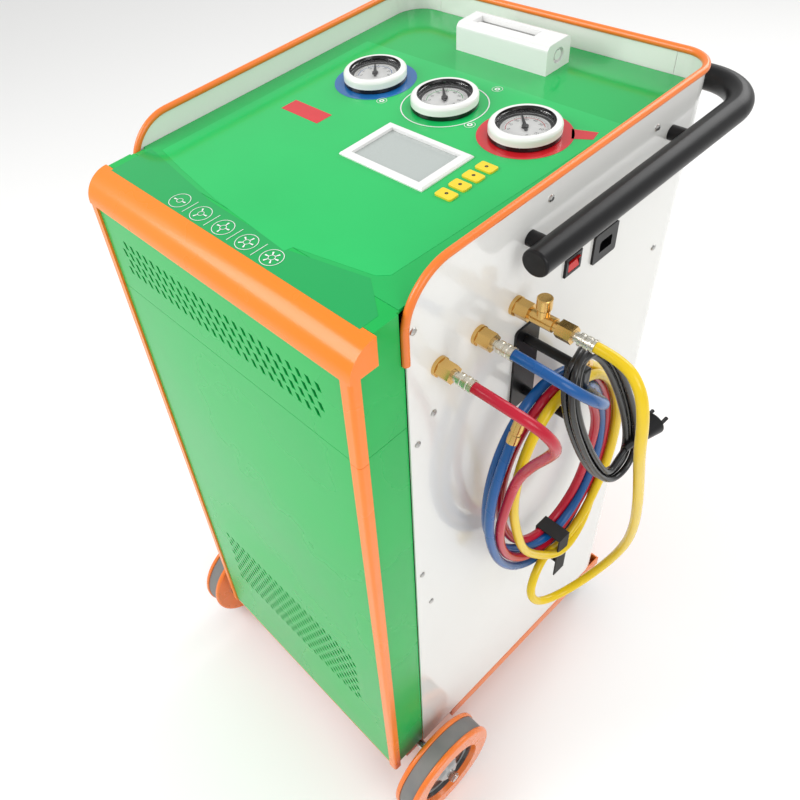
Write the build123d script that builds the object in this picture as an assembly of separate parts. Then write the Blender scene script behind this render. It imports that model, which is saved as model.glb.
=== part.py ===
"""Air conditioning recharge station: a sheet-metal cabinet on two fixed front wheels and two swivel casters.

Millimetres, +Z up. The front faces -Y, the service ports are on the +X side, and the floor is z = 0.
Depths below are counted from the front face, and save() moves the origin to the middle of the footprint.
Each function builds one node or one small group of nodes, and every size comes from the values below.
"""
import os
from math import cos, hypot, pi, radians, sin, tan

from build123d import *

# Cabinet envelope
HALF_WIDTH = 240.0
DECK_Z = 1170.0
REAR_Y = 606.0
PANEL_INSET = 2.0
FASCIA_INSET = 5.0
RIM_RISE = 33.0
UPPER_FASCIA_HEIGHT = 165.0
PANEL_HALF_WIDTH = HALF_WIDTH - PANEL_INSET
FASCIA_HALF_WIDTH = HALF_WIDTH - FASCIA_INSET
RIM_Z = DECK_Z + RIM_RISE
SPLIT_Z = DECK_Z - UPPER_FASCIA_HEIGHT
SPLIT_GAP = 0.8
PANEL_BOTTOM_Z = 120.0
CHASSIS_BOTTOM_Z = 96.0
CHASSIS_SHEET = 2.5
PANEL_FRONT_Y = 76.0
REAR_CORNER_R = 42.0
FRONT_CORNER_R = 62.0
SHEET = 2.0
RETURN_WIDTH = 52.0
SEAM_GAP = 0.8
REAR_COVER_TOP_Z = 520.0
TRIM_R = 4.5
TRIM_NOTCH = 16.0
TRIM_LEG = 40.0

# Orange frame and green fascias
FRAME_DEPTH = 14.0
FRAME_STRIP = 15.0
FRAME_PROUD = 3.0
FRAME_EDGE_R = 5.0
TOP_ROLL_R = 38.0
FASCIA_WALL = 3.0
FASCIA_GAP = 0.5
FASCIA_BOTTOM_Z = 124.0
UPPER_VENT_COLUMNS = 25
UPPER_VENT_ROWS = 4
LOWER_VENT_COLUMNS = 22
LOWER_VENT_ROWS = 11
SLOT_WIDTH = 6.0
SLOT_HEIGHT = 11.0
SLOT_PITCH_X = 15.2
SLOT_PITCH_Z = 14.5
UPPER_VENT_DROP = 101.0
LOWER_VENT_Z = 368.0

# Deck and what it carries
DECK_THICKNESS = 4.0
DECK_CLEARANCE = 1.0
GAUGE_Y = 391.0
GAUGE_X = (-112.0, 9.0, 130.0)
GAUGE_BEZEL_R = 42.0
GAUGE_LIP = 9.0
GAUGE_CASE_R = 37.0
GAUGE_CASE_DEPTH = 38.0
GAUGE_RISE = 18.0
GAUGE_TUBE_FIT = 0.3
SCREEN_X = (-14.0, 117.0)
SCREEN_Y = (231.0, 318.0)
SCREEN_BORDER = (12.0, 9.0)
SCREEN_LIP = 6.0
KEY_X = 142.0
KEY_Y0 = 243.0
KEY_PITCH = 22.0
KEY_SIZE = (23.0, 15.0)
KEY_RISE = 3.0
KEY_CLEARANCE = 0.4
PRINTER_X = (-81.0, 65.0)
PRINTER_DEPTH = 48.0
PRINTER_FROM_REAR = 41.0
PRINTER_HEIGHT = 38.0
PRINTER_CHEEKS = (16.0, 34.0)
PAPER_ROLL_R = 11.0
PAPER_CORE_R = 3.0

# Handle
HANDLE_R = 16.0
HANDLE_WALL = 2.0
HANDLE_DROP = 22.0
HANDLE_STANDOFF = 30.0
HANDLE_FRONT_Y = 234.0
HANDLE_OVERHANG = 54.0
HANDLE_BEND_R = 62.0
STANDOFF_FROM_END = 28.0
STANDOFF_FROM_REAR = 86.0
STANDOFF_R = 9.0

# Service side
PORT_DROP = 104.0
PORT_Y = (122.0, 184.0, 246.0)
PORT_HOLE_R = 9.0
PORT_REACH = 21.0
FERRULE_LENGTH = 26.0
VALVE_LENGTH = 54.0
VALVE_STEM = 15.0
SPINDLE_R = 3.0
SWITCH_Y = 348.0
SWITCH_DROP = 108.0
SWITCH_SIZE = (30.0, 27.0)
SWITCH_BORDER = 4.6
ROCKER_CLEARANCE = 0.5
ROCKER_PIVOT_R = 1.5
ROCKER_PIVOT_DEPTH = 2.0
INLET_Y = 411.0
INLET_DROP = 116.0
INLET_SIZE = (46.0, 42.0)
INLET_MOUTH = (24.0, 16.0)
INLET_DEPTH = 20.0
HOOK_ROD_R = 6.0
HOOK_REACH = 72.0
HOOK_TIP = 28.0
HOOK_BEND_R = 7.0
HOOK_PLATE = 44.0
HOOK_CLEARANCE = 0.3
HOSE_R = 6.3

# Panel screws: distance from the panel's front or rear edge, and height below the deck or above the floor
UPPER_FRONT_SCREWS = ((10.0, 30.0), (37.0, 171.0), (11.0, 202.0))
LOWER_FRONT_SCREWS = ((11.0, 690.0), (27.0, 598.0))
UPPER_REAR_SCREWS = ((121.0, 0.0), (66.0, 201.0))
LOWER_REAR_SCREWS = ((122.0, 785.0), (67.0, 721.0))
HANDLE_SCREW = (30.0, 32.0)

# Inside
TANK_R = 115.0
TANK_HEIGHT = 400.0
TANK_WALL = 3.0
TANK_Y = 330.0
TANK_NECK_R = 14.0
SCALE_HEIGHT = 34.0
SCALE_TRAY = 5.0
SHELF_Z = 700.0
SHELF_SHEET = 3.0
COMPRESSOR_AT = (-110.0, 200.0)
COMPRESSOR_R = 68.0
COMPRESSOR_HEIGHT = 160.0
COMPRESSOR_FOOT = 14.0
PUMP_MOTOR_R = 48.0
PUMP_AXIS_RISE = 62.0
CONDENSER_HALF = 150.0
CONDENSER_DEPTH = 36.0
CONDENSER_SETBACK = 12.0
FAN_R = 100.0
FAN_TIP_GAP = 5.0
MANIFOLD_HEIGHT = 60.0
DRIER_R = 34.0

# Hoses and mains cord
COIL_X = 285.0
COIL_CENTRE = (297.0, 752.0)
COIL_HALF = (138.0, 214.0)
COIL_SECTION = (36.0, 50.0)
COIL_LEAN = 11.0
STRAP_WIDTH = 24.0
STRAP_WALL = 2.0
STRAP_CLEARANCE = 1.2
STRAP_TAIL = 40.0
HANK_CENTRE = (336.0, 297.0, 909.0)
HANK_DROP = (0.163, 0.297, -0.941)
HANK_HALF = (52.0, 128.0)
HANK_SECTION = (20.0, 22.0)
PLUG_ANGLE = 140.0
PLUG_OFF_HANK = 1.4
PLUG_LENGTH = 38.0
PLUG_R = 17.0
PLUG_PIN_R = 2.4
PLUG_PIN_SPREAD = 9.5
PLUG_PIN_LENGTH = 19.0
RED_ROUTE = ((285, 122, 1066), (328, 122, 1066), (360, 134, 1048), (374, 148, 1010), (364, 158, 955), (338, 166, 900),
             (312, 170, 848), (294, 171, 795))
BLUE_ROUTE = ((285, 184, 1066), (327, 184, 1066), (358, 198, 1046), (366, 230, 1012), (350, 264, 974), (322, 292, 944),
              (298, 311, 924))
YELLOW_ROUTE = ((339, 246, 1066), (372, 246, 1066), (396, 241, 1046), (406, 240, 1008), (406, 250, 950), (403, 274, 880),
                (398, 306, 790), (390, 338, 690), (376, 360, 600), (354, 352, 525), (330, 312, 478), (314, 262, 482),
                (306, 244, 520), (300, 262, 556), (294, 296, 566))

# Wheels
WHEEL_R = 100.0
WHEEL_WIDTH = 44.0
WHEEL_CLEARANCE = 23.0
WHEEL_Y = 72.0
AXLE_R = 8.0
AXLE_FIT = 0.06
TREAD_WIDTH = 26.0
TREAD_SUNK = 3.0
TREAD_THICKNESS = 9.0
RIM_FACE_R = 66.0
DISH_DEPTH = 14.0
HUB_R = 24.0
CASTER_R = 40.0
CASTER_WIDTH = 26.0
CASTER_INSET = 32.0
CASTER_FROM_REAR = 51.0
CASTER_TRAIL = 28.0
CASTER_PIN_R = 4.0

# Stations that several pieces share
HANDLE_X = PANEL_HALF_WIDTH + HANDLE_STANDOFF
HANDLE_Z = DECK_Z - HANDLE_DROP
HANDLE_REAR_Y = REAR_Y + HANDLE_OVERHANG
STANDOFF_Y = (HANDLE_FRONT_Y + STANDOFF_FROM_END, REAR_Y - STANDOFF_FROM_REAR)
PORT_Z = DECK_Z - PORT_DROP
SWITCH_Z = DECK_Z - SWITCH_DROP
INLET_Z = DECK_Z - INLET_DROP
PRINTER_Y = (REAR_Y - PRINTER_FROM_REAR - PRINTER_DEPTH, REAR_Y - PRINTER_FROM_REAR)
WHEEL_INNER_X = HALF_WIDTH + WHEEL_CLEARANCE
CASTER_X = HALF_WIDTH - CASTER_INSET
CASTER_Y = REAR_Y - CASTER_FROM_REAR
CONDENSER_Y = PANEL_FRONT_Y + CONDENSER_SETBACK
PAN_FLOOR_Z = CHASSIS_BOTTOM_Z + SHELF_SHEET
ROCKER_PIVOT_X = PANEL_HALF_WIDTH - ROCKER_PIVOT_DEPTH


def block(x, y, z):
    """Box between two limits on each axis."""
    size = (x[1] - x[0], y[1] - y[0], z[1] - z[0])
    return Pos((x[0] + x[1]) / 2, (y[0] + y[1]) / 2, (z[0] + z[1]) / 2) * Box(*size)


def rod_z(x, y, z0, z1, radius):
    """Upright cylinder between two heights."""
    return Pos(x, y, (z0 + z1) / 2) * Cylinder(radius, z1 - z0)


def rod_x(x0, x1, y, z, radius):
    """Cylinder along X between two stations."""
    return Pos((x0 + x1) / 2, y, z) * Rot(0, 90, 0) * Cylinder(radius, x1 - x0)


def rod_y(x, y0, y1, z, radius):
    """Cylinder along Y between two stations."""
    return Pos(x, (y0 + y1) / 2, z) * Rot(90, 0, 0) * Cylinder(radius, y1 - y0)


def hex_x(x0, x1, y, z, across):
    """Hexagonal bar along X, stated by its size across flats."""
    plane = Plane(origin=(x0, y, z), x_dir=(0, 1, 0), z_dir=(1, 0, 0))
    return extrude(plane * RegularPolygon(across / 2, 6, major_radius=False), x1 - x0)


def turned_x(x0, y, z, profile):
    """Solid turned about an X axis from (distance along X, radius) pairs that start and end at radius 0."""
    plane = Plane(origin=(x0, y, z), x_dir=(1, 0, 0), z_dir=(0, -1, 0))
    outline = make_face(Polyline(*profile, close=True))
    return revolve(plane * outline, Axis((x0, y, z), (1, 0, 0)))


def mirrored(shape):
    """Copy on the other side of the X = 0 plane."""
    return mirror(shape, about=Plane.YZ)


def save(node, *solids):
    """Write one node as a STEP file, with the origin moved to the middle of the footprint."""
    footprint_middle = (WHEEL_Y - WHEEL_R + HANDLE_REAR_Y + HANDLE_R) / 2
    placed = [Pos(0, -footprint_middle, 0) * solid for solid in solids]
    shape = placed[0] if len(placed) == 1 else Compound(children=placed)
    export_step(shape, f"parts/{node}.step")


def chassis():
    """Orange base pan, narrower between the wheels, with the axle ears folded down at the front."""
    bay_end = WHEEL_Y + WHEEL_R * 0.8
    narrow = FASCIA_HALF_WIDTH - 6
    outline = make_face(Polyline(
        (-narrow, PANEL_FRONT_Y * 0.5), (narrow, PANEL_FRONT_Y * 0.5), (narrow, bay_end),
        (PANEL_HALF_WIDTH + 1, bay_end), (PANEL_HALF_WIDTH + 1, REAR_Y + 1),
        (-PANEL_HALF_WIDTH - 1, REAR_Y + 1), (-PANEL_HALF_WIDTH - 1, bay_end), (-narrow, bay_end), close=True))
    pan = extrude(Plane.XY.offset(CHASSIS_BOTTOM_Z) * outline, PANEL_BOTTOM_Z - CHASSIS_BOTTOM_Z)
    pan -= extrude(Plane.XY.offset(PAN_FLOOR_Z) * offset(outline, -CHASSIS_SHEET), PANEL_BOTTOM_Z)
    for side in (-1, 1):
        ear_x = sorted((side * (narrow - CHASSIS_SHEET), side * (narrow - CHASSIS_SHEET - 6)))
        pan += block(ear_x, (WHEEL_Y - 30, WHEEL_Y + 30), (WHEEL_R - 22, PANEL_BOTTOM_Z + 14))
    pan -= rod_x(-narrow - 20, narrow + 20, WHEEL_Y, WHEEL_R, AXLE_R + AXLE_FIT)
    return pan


def panel_blank():
    """White side panel of the +X side, bent round the rear upright corner, without cut-outs."""
    w, t = PANEL_HALF_WIDTH, SHEET
    solid = block((w - RETURN_WIDTH, w), (PANEL_FRONT_Y, REAR_Y), (PANEL_BOTTOM_Z, RIM_Z))
    solid = fillet(solid.edges().filter_by(Axis.Z).sort_by(Axis.Y)[-2:].sort_by(Axis.X)[-1], REAR_CORNER_R)
    inner = block((0, w - t), (0, REAR_Y - t), (0, RIM_Z + 10))
    inner = fillet(inner.edges().filter_by(Axis.Z).sort_by(Axis.Y)[-2:].sort_by(Axis.X)[-1], REAR_CORNER_R - t)
    solid -= inner
    flange_seat = block((0, w - REAR_CORNER_R), (REAR_Y - t - 1, REAR_Y + 1), (0, REAR_COVER_TOP_Z + SEAM_GAP))
    solid -= flange_seat
    top_front = solid.edges().filter_by(Axis.X).sort_by(Axis.Z)[-4:].sort_by(Axis.Y)[0]
    return fillet(top_front, FRONT_CORNER_R)


def right_panel():
    """Service-side panel with port holes and the switch and inlet windows."""
    solid = panel_blank()
    w = PANEL_HALF_WIDTH
    for y in PORT_Y:
        solid -= rod_x(w - 10, w + 10, y, PORT_Z, PORT_HOLE_R)
    for (y, z, size) in ((SWITCH_Y, SWITCH_Z, SWITCH_SIZE), (INLET_Y, INLET_Z, INLET_SIZE)):
        half = (size[0] / 2 - 3, size[1] / 2 - 3)
        solid -= block((w - 10, w + 10), (y - half[0], y + half[0]), (z - half[1], z + half[1]))
    return solid


def back_panel():
    """White panel between the two side panels' returns."""
    half = PANEL_HALF_WIDTH - RETURN_WIDTH - SEAM_GAP
    return block((-half, half), (REAR_Y - SHEET, REAR_Y), (REAR_COVER_TOP_Z + SEAM_GAP, RIM_Z))


def rear_cover():
    """Orange lower cover between the side panels' rear corners."""
    half = PANEL_HALF_WIDTH - REAR_CORNER_R - SEAM_GAP
    z = (PANEL_BOTTOM_Z + SEAM_GAP, REAR_COVER_TOP_Z)
    return block((-half, half), (REAR_Y - SHEET, REAR_Y), z)


def edge_trim(panels):
    """Orange bulb edging pressed over the top edge of the panels."""
    w, t = PANEL_HALF_WIDTH - SHEET / 2, SHEET
    front, rear, top = PANEL_FRONT_Y, REAR_Y - t / 2, RIM_Z
    low = top - FRONT_CORNER_R - TRIM_LEG
    points = [(w, front, low), (w, front, top), (w, rear, top), (-w, rear, top), (-w, front, top), (-w, front, low)]
    rear_r = REAR_CORNER_R - t / 2
    path = FilletPolyline(*points, radius=[FRONT_CORNER_R, rear_r, rear_r, FRONT_CORNER_R])
    section = Plane(origin=points[0], z_dir=(0, 0, 1)) * Circle(TRIM_R)
    trim = sweep(section, path=path)
    for panel in panels:
        trim -= panel
    return trim


def vent_slots(centre_z, columns, rows):
    """Closed outlines of one vent's staggered, slanted slots, in the plane of the front wall."""
    lean = SLOT_WIDTH * 0.35
    half_w, half_h = SLOT_WIDTH / 2, SLOT_HEIGHT / 2
    slots = []
    for row in range(rows):
        z = centre_z + (row - (rows - 1) / 2) * SLOT_PITCH_Z
        stagger = 0.25 if row % 2 else -0.25
        for column in range(columns):
            x = (column - (columns - 1) / 2 + stagger) * SLOT_PITCH_X
            slots.append(Wire.make_polygon([
                (x - half_w - lean, 0, z + half_h), (x + half_w - lean, 0, z + half_h),
                (x + half_w + lean, 0, z - half_h), (x - half_w + lean, 0, z - half_h)], close=True))
    return slots


def vented_wall(z0, z1, slots):
    """Front wall of a fascia between the two orange uprights, pierced by its slots."""
    half = HALF_WIDTH - FRAME_STRIP
    outline = Wire.make_polygon([(-half, 0, z0), (half, 0, z0), (half, 0, z1), (-half, 0, z1)], close=True)
    wall = extrude(Face(outline, slots), FASCIA_WALL, dir=(0, 1, 0))
    return Pos(0, FRAME_PROUD, 0) * wall


def fascia_sides(z0, z1):
    """Side walls of a green moulding, each with the return that meets the front wall behind the orange upright."""
    outer, back = FASCIA_HALF_WIDTH, PANEL_FRONT_Y - FASCIA_GAP
    inner = HALF_WIDTH - FRAME_STRIP
    wall = block((outer - FASCIA_WALL, outer), (FRAME_DEPTH, back), (z0, z1))
    wall += block((inner - FASCIA_WALL, outer), (FRAME_DEPTH, FRAME_DEPTH + FASCIA_WALL), (z0, z1))
    wall += block((inner - FASCIA_WALL, inner), (FRAME_PROUD + FASCIA_WALL, FRAME_DEPTH + FASCIA_WALL), (z0, z1))
    return [wall, mirrored(wall)]


def upper_fascia():
    """Green upper moulding: vented front, side walls, the step under the orange roll and the deck's front strip."""
    low, high = SPLIT_Z + SPLIT_GAP / 2, DECK_Z
    step = high - TOP_ROLL_R - FASCIA_GAP
    back = PANEL_FRONT_Y - FASCIA_GAP
    half = FASCIA_HALF_WIDTH
    solid = vented_wall(low, step, vent_slots(DECK_Z - UPPER_VENT_DROP, UPPER_VENT_COLUMNS, UPPER_VENT_ROWS))
    for wall in fascia_sides(low, high):
        solid += wall - block((-300, 300), (-5, TOP_ROLL_R), (step, high + 1))
    ledge_half = HALF_WIDTH - FRAME_STRIP
    solid += block((-ledge_half, ledge_half), (FRAME_PROUD, TOP_ROLL_R), (step - FASCIA_WALL, step))
    solid += block((-half, half), (TOP_ROLL_R, TOP_ROLL_R + FASCIA_WALL), (step - FASCIA_WALL, high))
    solid += block((-half, half), (TOP_ROLL_R, back), (high - FASCIA_WALL, high))
    trim_x = PANEL_HALF_WIDTH - SHEET / 2 - TRIM_R - FASCIA_GAP
    notch = block((trim_x, half + 1), (PANEL_FRONT_Y - TRIM_R - FASCIA_GAP, PANEL_FRONT_Y),
                  (RIM_Z - FRONT_CORNER_R - TRIM_LEG - FASCIA_GAP, high + 1))
    return solid - notch - mirrored(notch)


def lower_fascia():
    """Green lower moulding with the large vent and a floor lip."""
    low, high = FASCIA_BOTTOM_Z, SPLIT_Z - SPLIT_GAP / 2
    solid = vented_wall(low, high, vent_slots(LOWER_VENT_Z, LOWER_VENT_COLUMNS, LOWER_VENT_ROWS))
    for wall in fascia_sides(low, high):
        solid += wall
    lip_half = HALF_WIDTH - FRAME_STRIP
    return solid + block((-lip_half, lip_half), (FRAME_PROUD, FRAME_DEPTH + FASCIA_WALL), (low, low + FASCIA_WALL))


def frame_strip(z0, z1):
    """Right-hand orange upright with a rounded outer edge."""
    inner = HALF_WIDTH - FRAME_STRIP + FASCIA_GAP
    solid = block((inner, HALF_WIDTH), (0, FRAME_DEPTH - FASCIA_GAP), (z0, z1))
    edges = solid.edges().filter_by(Axis.Z).sort_by(Axis.Y)[:2]
    return fillet(edges.sort_by(Axis.X)[-1], FRAME_EDGE_R)


def upper_frame():
    """Orange arch of the upper fascia: two uprights and the big roll along the deck's front edge."""
    low = SPLIT_Z + SPLIT_GAP / 2
    roll_low = DECK_Z - TOP_ROLL_R
    strip = frame_strip(low, roll_low)
    roll = block((-HALF_WIDTH, HALF_WIDTH), (0, TOP_ROLL_R - FASCIA_GAP), (roll_low, DECK_Z))
    roll = fillet(roll.edges().filter_by(Axis.X).sort_by(Axis.Y)[:2].sort_by(Axis.Z)[-1], TOP_ROLL_R - 2)
    roll -= block((-HALF_WIDTH + 4, HALF_WIDTH - 4), (TOP_ROLL_R - 12, TOP_ROLL_R),
                  (roll_low - 1, DECK_Z - 5))
    return strip + mirrored(strip) + roll


def lower_frame():
    """Orange uprights of the lower fascia, joined under the green moulding by a thin bar."""
    strip = frame_strip(FASCIA_BOTTOM_Z - 4, SPLIT_Z - SPLIT_GAP / 2)
    half = HALF_WIDTH - FRAME_STRIP + 1
    bar = block((-half, half), (FRAME_PROUD, FRAME_DEPTH - FASCIA_GAP), (FASCIA_BOTTOM_Z - 4, FASCIA_BOTTOM_Z - 0.5))
    return strip + mirrored(strip) + bar


def control_deck():
    """Green deck plate with openings for gauges, screen, keys and printer paper."""
    half = PANEL_HALF_WIDTH - SHEET - DECK_CLEARANCE
    front, rear = PANEL_FRONT_Y, REAR_Y - SHEET - DECK_CLEARANCE
    deck = block((-half, half), (front, rear), (DECK_Z - DECK_THICKNESS, DECK_Z))
    corners = deck.edges().filter_by(Axis.Z).sort_by(Axis.Y)[-2:]
    deck = fillet(corners, REAR_CORNER_R - SHEET)
    low, high = DECK_Z - DECK_THICKNESS - 1, DECK_Z + 1
    notch = block((half - TRIM_R, half + 1), (front - 1, front + TRIM_NOTCH), (low, high))
    deck = deck - notch - mirrored(notch)
    for x in GAUGE_X:
        deck -= rod_z(x, GAUGE_Y, low, high, GAUGE_CASE_R + GAUGE_TUBE_FIT)
    border = SCREEN_LIP
    deck -= block((SCREEN_X[0] + border, SCREEN_X[1] - border), (SCREEN_Y[0] + border, SCREEN_Y[1] - border), (low, high))
    for index in range(4):
        y = KEY_Y0 + index * KEY_PITCH
        half_x, half_y = KEY_SIZE[0] / 2 + KEY_CLEARANCE, KEY_SIZE[1] / 2 + KEY_CLEARANCE
        deck -= block((KEY_X - half_x, KEY_X + half_x), (y - half_y, y + half_y), (low, high))
    return deck


def gauge_cases():
    """Three gauge cans: a cup through the deck with a rolled bezel on top and a connector stem below."""
    cases = []
    top, well = DECK_Z + GAUGE_RISE, GAUGE_BEZEL_R - GAUGE_LIP
    floor = top - GAUGE_CASE_DEPTH
    outline = make_face(Polyline(
        (0, floor), (GAUGE_CASE_R, floor), (GAUGE_CASE_R, DECK_Z), (GAUGE_BEZEL_R - 1, DECK_Z),
        (GAUGE_BEZEL_R, DECK_Z + 2), (GAUGE_BEZEL_R, top), (well + 1, top), (well, top - 3), (well, floor + 4),
        (0, floor + 4), close=True))
    rolled = outline.vertices().filter_by(lambda corner: corner.X > well and corner.Y > top - 1)
    outline = fillet(rolled.sort_by(Axis.X)[-1], 5)
    turned = revolve(Plane.XZ * outline, Axis.Z)
    stem = rod_z(0, 0, floor - 14, floor, 7)
    for x in GAUGE_X:
        cases.append(Pos(x, GAUGE_Y, 0) * (turned + stem))
    return cases


def gauge_dials():
    """White dial discs."""
    z, radius = DECK_Z + GAUGE_RISE - 11, GAUGE_BEZEL_R - GAUGE_LIP - 0.2
    return [rod_z(x, GAUGE_Y, z, z + 1, radius) - rod_z(x, GAUGE_Y, z - 1, z + 2, 2.5) for x in GAUGE_X]


def gauge_glasses():
    """Clear discs held under the bezels."""
    z = DECK_Z + GAUGE_RISE - 4.6
    return [rod_z(x, GAUGE_Y, z, z + 1.4, GAUGE_BEZEL_R - GAUGE_LIP - 0.1) for x in GAUGE_X]


def gauge_pointer(x):
    """Pointer with its hub and the arbor that turns in the gauge can."""
    z = DECK_Z + GAUGE_RISE - 9
    blade = make_face(Polyline((-2.4, 0), (-1.6, -9), (1.6, -9), (2.4, 0), (0.7, 27), (-0.7, 27), close=True))
    pointer = extrude(Plane.XY.offset(z) * blade, 0.8) + rod_z(0, 0, z - 0.6, z + 1.8, 4)
    pointer += rod_z(0, 0, DECK_Z + GAUGE_RISE - GAUGE_CASE_DEPTH + 4.3, z, 1.2)
    return Pos(x, GAUGE_Y, 0) * Rot(0, 0, 45) * pointer


def display_bezel():
    """White screen surround lying on the deck."""
    x, y = SCREEN_X, SCREEN_Y
    solid = block(x, y, (DECK_Z, DECK_Z + 4))
    solid = chamfer(solid.faces().sort_by(Axis.Z)[-1].edges(), 2)
    window = block((x[0] + SCREEN_BORDER[0], x[1] - SCREEN_BORDER[0]), (y[0] + SCREEN_BORDER[1], y[1] - SCREEN_BORDER[1]),
                   (DECK_Z - 1, DECK_Z + 6))
    return solid - window


def display_screen():
    """Liquid crystal panel under the surround."""
    x, y, m = SCREEN_X, SCREEN_Y, SCREEN_LIP + 0.3
    return block((x[0] + m, x[1] - m), (y[0] + m, y[1] - m), (DECK_Z - 9, DECK_Z - 0.2))


def key(index):
    """One key cap that slides through its hole in the deck."""
    y = KEY_Y0 + index * KEY_PITCH
    half_x, half_y = KEY_SIZE[0] / 2, KEY_SIZE[1] / 2
    cap = block((KEY_X - half_x, KEY_X + half_x), (y - half_y, y + half_y), (DECK_Z - 5, DECK_Z + KEY_RISE))
    cap = fillet(cap.edges().filter_by(Axis.Z), 2.5)
    return fillet(cap.faces().sort_by(Axis.Z)[-1].edges(), 1)


def printer_housing():
    """White receipt printer case with a paper window in its top and a round knob sunk in its end."""
    x, y, top = PRINTER_X, PRINTER_Y, DECK_Z + PRINTER_HEIGHT
    case = block(x, y, (DECK_Z, top))
    case = fillet(case.edges().filter_by(Axis.X).sort_by(Axis.Z)[-2:], 8)
    mid_y = (y[0] + y[1]) / 2
    window = (x[0] + PRINTER_CHEEKS[0], x[1] - PRINTER_CHEEKS[1])
    roll_z, knob_z = top - PAPER_ROLL_R - 5, DECK_Z + PRINTER_HEIGHT / 2
    case -= rod_x(*window, mid_y, roll_z, PAPER_ROLL_R + 2.5)
    case -= block(window, (mid_y - 10, mid_y + 10), (roll_z, top + 1))
    case -= rod_x(x[1] - 5, x[1] + 1, mid_y, knob_z, 10) - rod_x(x[1] - 6, x[1] - 1, mid_y, knob_z, 6.5)
    case -= rod_x(window[0] - 6, window[0] + 1, mid_y, roll_z, PAPER_CORE_R)
    return case - rod_x(window[1] - 1, window[1] + 6, mid_y, roll_z, PAPER_CORE_R)


def paper_roll():
    """Paper roll on its core, turning in the printer's two cheeks."""
    mid_y = (PRINTER_Y[0] + PRINTER_Y[1]) / 2
    z = DECK_Z + PRINTER_HEIGHT - PAPER_ROLL_R - 5
    window = (PRINTER_X[0] + PRINTER_CHEEKS[0], PRINTER_X[1] - PRINTER_CHEEKS[1])
    roll = rod_x(window[0] + 1, window[1] - 1, mid_y, z, PAPER_ROLL_R)
    return roll + rod_x(window[0] - 5, window[1] + 5, mid_y, z, PAPER_CORE_R - 0.05)


def handle_path():
    """Centre line of the U-shaped handle."""
    x, front, rear, z = HANDLE_X, HANDLE_FRONT_Y, HANDLE_REAR_Y, HANDLE_Z
    return FilletPolyline((x, front, z), (x, rear, z), (-x, rear, z), (-x, front, z), radius=HANDLE_BEND_R)


def push_handle():
    """Round tube bent into a U round the back."""
    plane = Plane(origin=(HANDLE_X, HANDLE_FRONT_Y, HANDLE_Z), z_dir=(0, 1, 0))
    ring = Circle(HANDLE_R) - Circle(HANDLE_R - HANDLE_WALL)
    return sweep(plane * ring, path=handle_path())


def handle_end_caps():
    """Plugs in the two open ends of the tube."""
    y = HANDLE_FRONT_Y
    cap = rod_y(HANDLE_X, y - 5, y, HANDLE_Z, HANDLE_R)
    cap = fillet(cap.edges().sort_by(Axis.Y)[0], 3)
    cap += rod_y(HANDLE_X, y, y + 18, HANDLE_Z, HANDLE_R - HANDLE_WALL - 0.1)
    return [cap, mirrored(cap)]


def handle_standoffs():
    """Spacers between the panels and the handle, each with its screw head outside."""
    parts = []
    for y in STANDOFF_Y:
        spacer = rod_x(PANEL_HALF_WIDTH, HANDLE_X, y, HANDLE_Z, STANDOFF_R) - rod_y(HANDLE_X, y - 20, y + 20, HANDLE_Z, HANDLE_R)
        parts += [spacer, mirrored(spacer)]
    return parts


def rocker_bezel():
    """Black frame of the mains switch, with the two bearings of its rocker."""
    w, (sy, sz), b = PANEL_HALF_WIDTH, SWITCH_SIZE, SWITCH_BORDER
    y, z = (SWITCH_Y - sy / 2, SWITCH_Y + sy / 2), (SWITCH_Z - sz / 2, SWITCH_Z + sz / 2)
    solid = block((w, w + 3), y, z)
    solid = fillet(solid.faces().sort_by(Axis.X)[-1].edges(), 1)
    solid += block((w - 22, w), (y[0] + 3.2, y[1] - 3.2), (z[0] + 3.2, z[1] - 3.2))
    solid -= block((w - 18, w + 5), (y[0] + b, y[1] - b), (z[0] + b, z[1] - b))
    return solid - rod_y(ROCKER_PIVOT_X, y[0] + 3, y[1] - 3, SWITCH_Z, ROCKER_PIVOT_R + 0.1)


def rocker():
    """Red rocker on a pin along Y, with its two sloping faces."""
    w, (sy, sz) = PANEL_HALF_WIDTH, SWITCH_SIZE
    half_y = sy / 2 - SWITCH_BORDER - ROCKER_CLEARANCE
    half_z = sz / 2 - SWITCH_BORDER - 3 * ROCKER_CLEARANCE
    profile = Polyline((w - 6, -half_z + 1), (w + 3.4, -half_z), (w + 1.2, 0), (w + 5.4, half_z), (w - 6, half_z - 1),
                       close=True)
    plane = Plane(origin=(0, SWITCH_Y + half_y, SWITCH_Z), x_dir=(1, 0, 0), z_dir=(0, -1, 0))
    pin_end = sy / 2 - 3.4
    pin = rod_y(ROCKER_PIVOT_X, SWITCH_Y - pin_end, SWITCH_Y + pin_end, SWITCH_Z, ROCKER_PIVOT_R)
    return extrude(plane * make_face(profile), 2 * half_y) + pin


def power_inlet():
    """Mains inlet: flange and shroud cavity."""
    w, (sy, sz) = PANEL_HALF_WIDTH, INLET_SIZE
    y, z = (INLET_Y - sy / 2, INLET_Y + sy / 2), (INLET_Z - sz / 2, INLET_Z + sz / 2)
    flange = block((w, w + 3), y, z)
    flange = fillet(flange.edges().filter_by(Axis.X), 3)
    body = flange + block((w - INLET_DEPTH - 10, w), (y[0] + 3.2, y[1] - 3.2), (z[0] + 3.2, z[1] - 3.2))
    half_y, half_z = INLET_MOUTH[0] / 2, INLET_MOUTH[1] / 2
    cavity = block((w - INLET_DEPTH, w + 5), (INLET_Y - half_y, INLET_Y + half_y), (INLET_Z - half_z, INLET_Z + half_z))
    return body - fillet(cavity.edges().filter_by(Axis.X).sort_by(Axis.Z)[-2:], 4)


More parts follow.
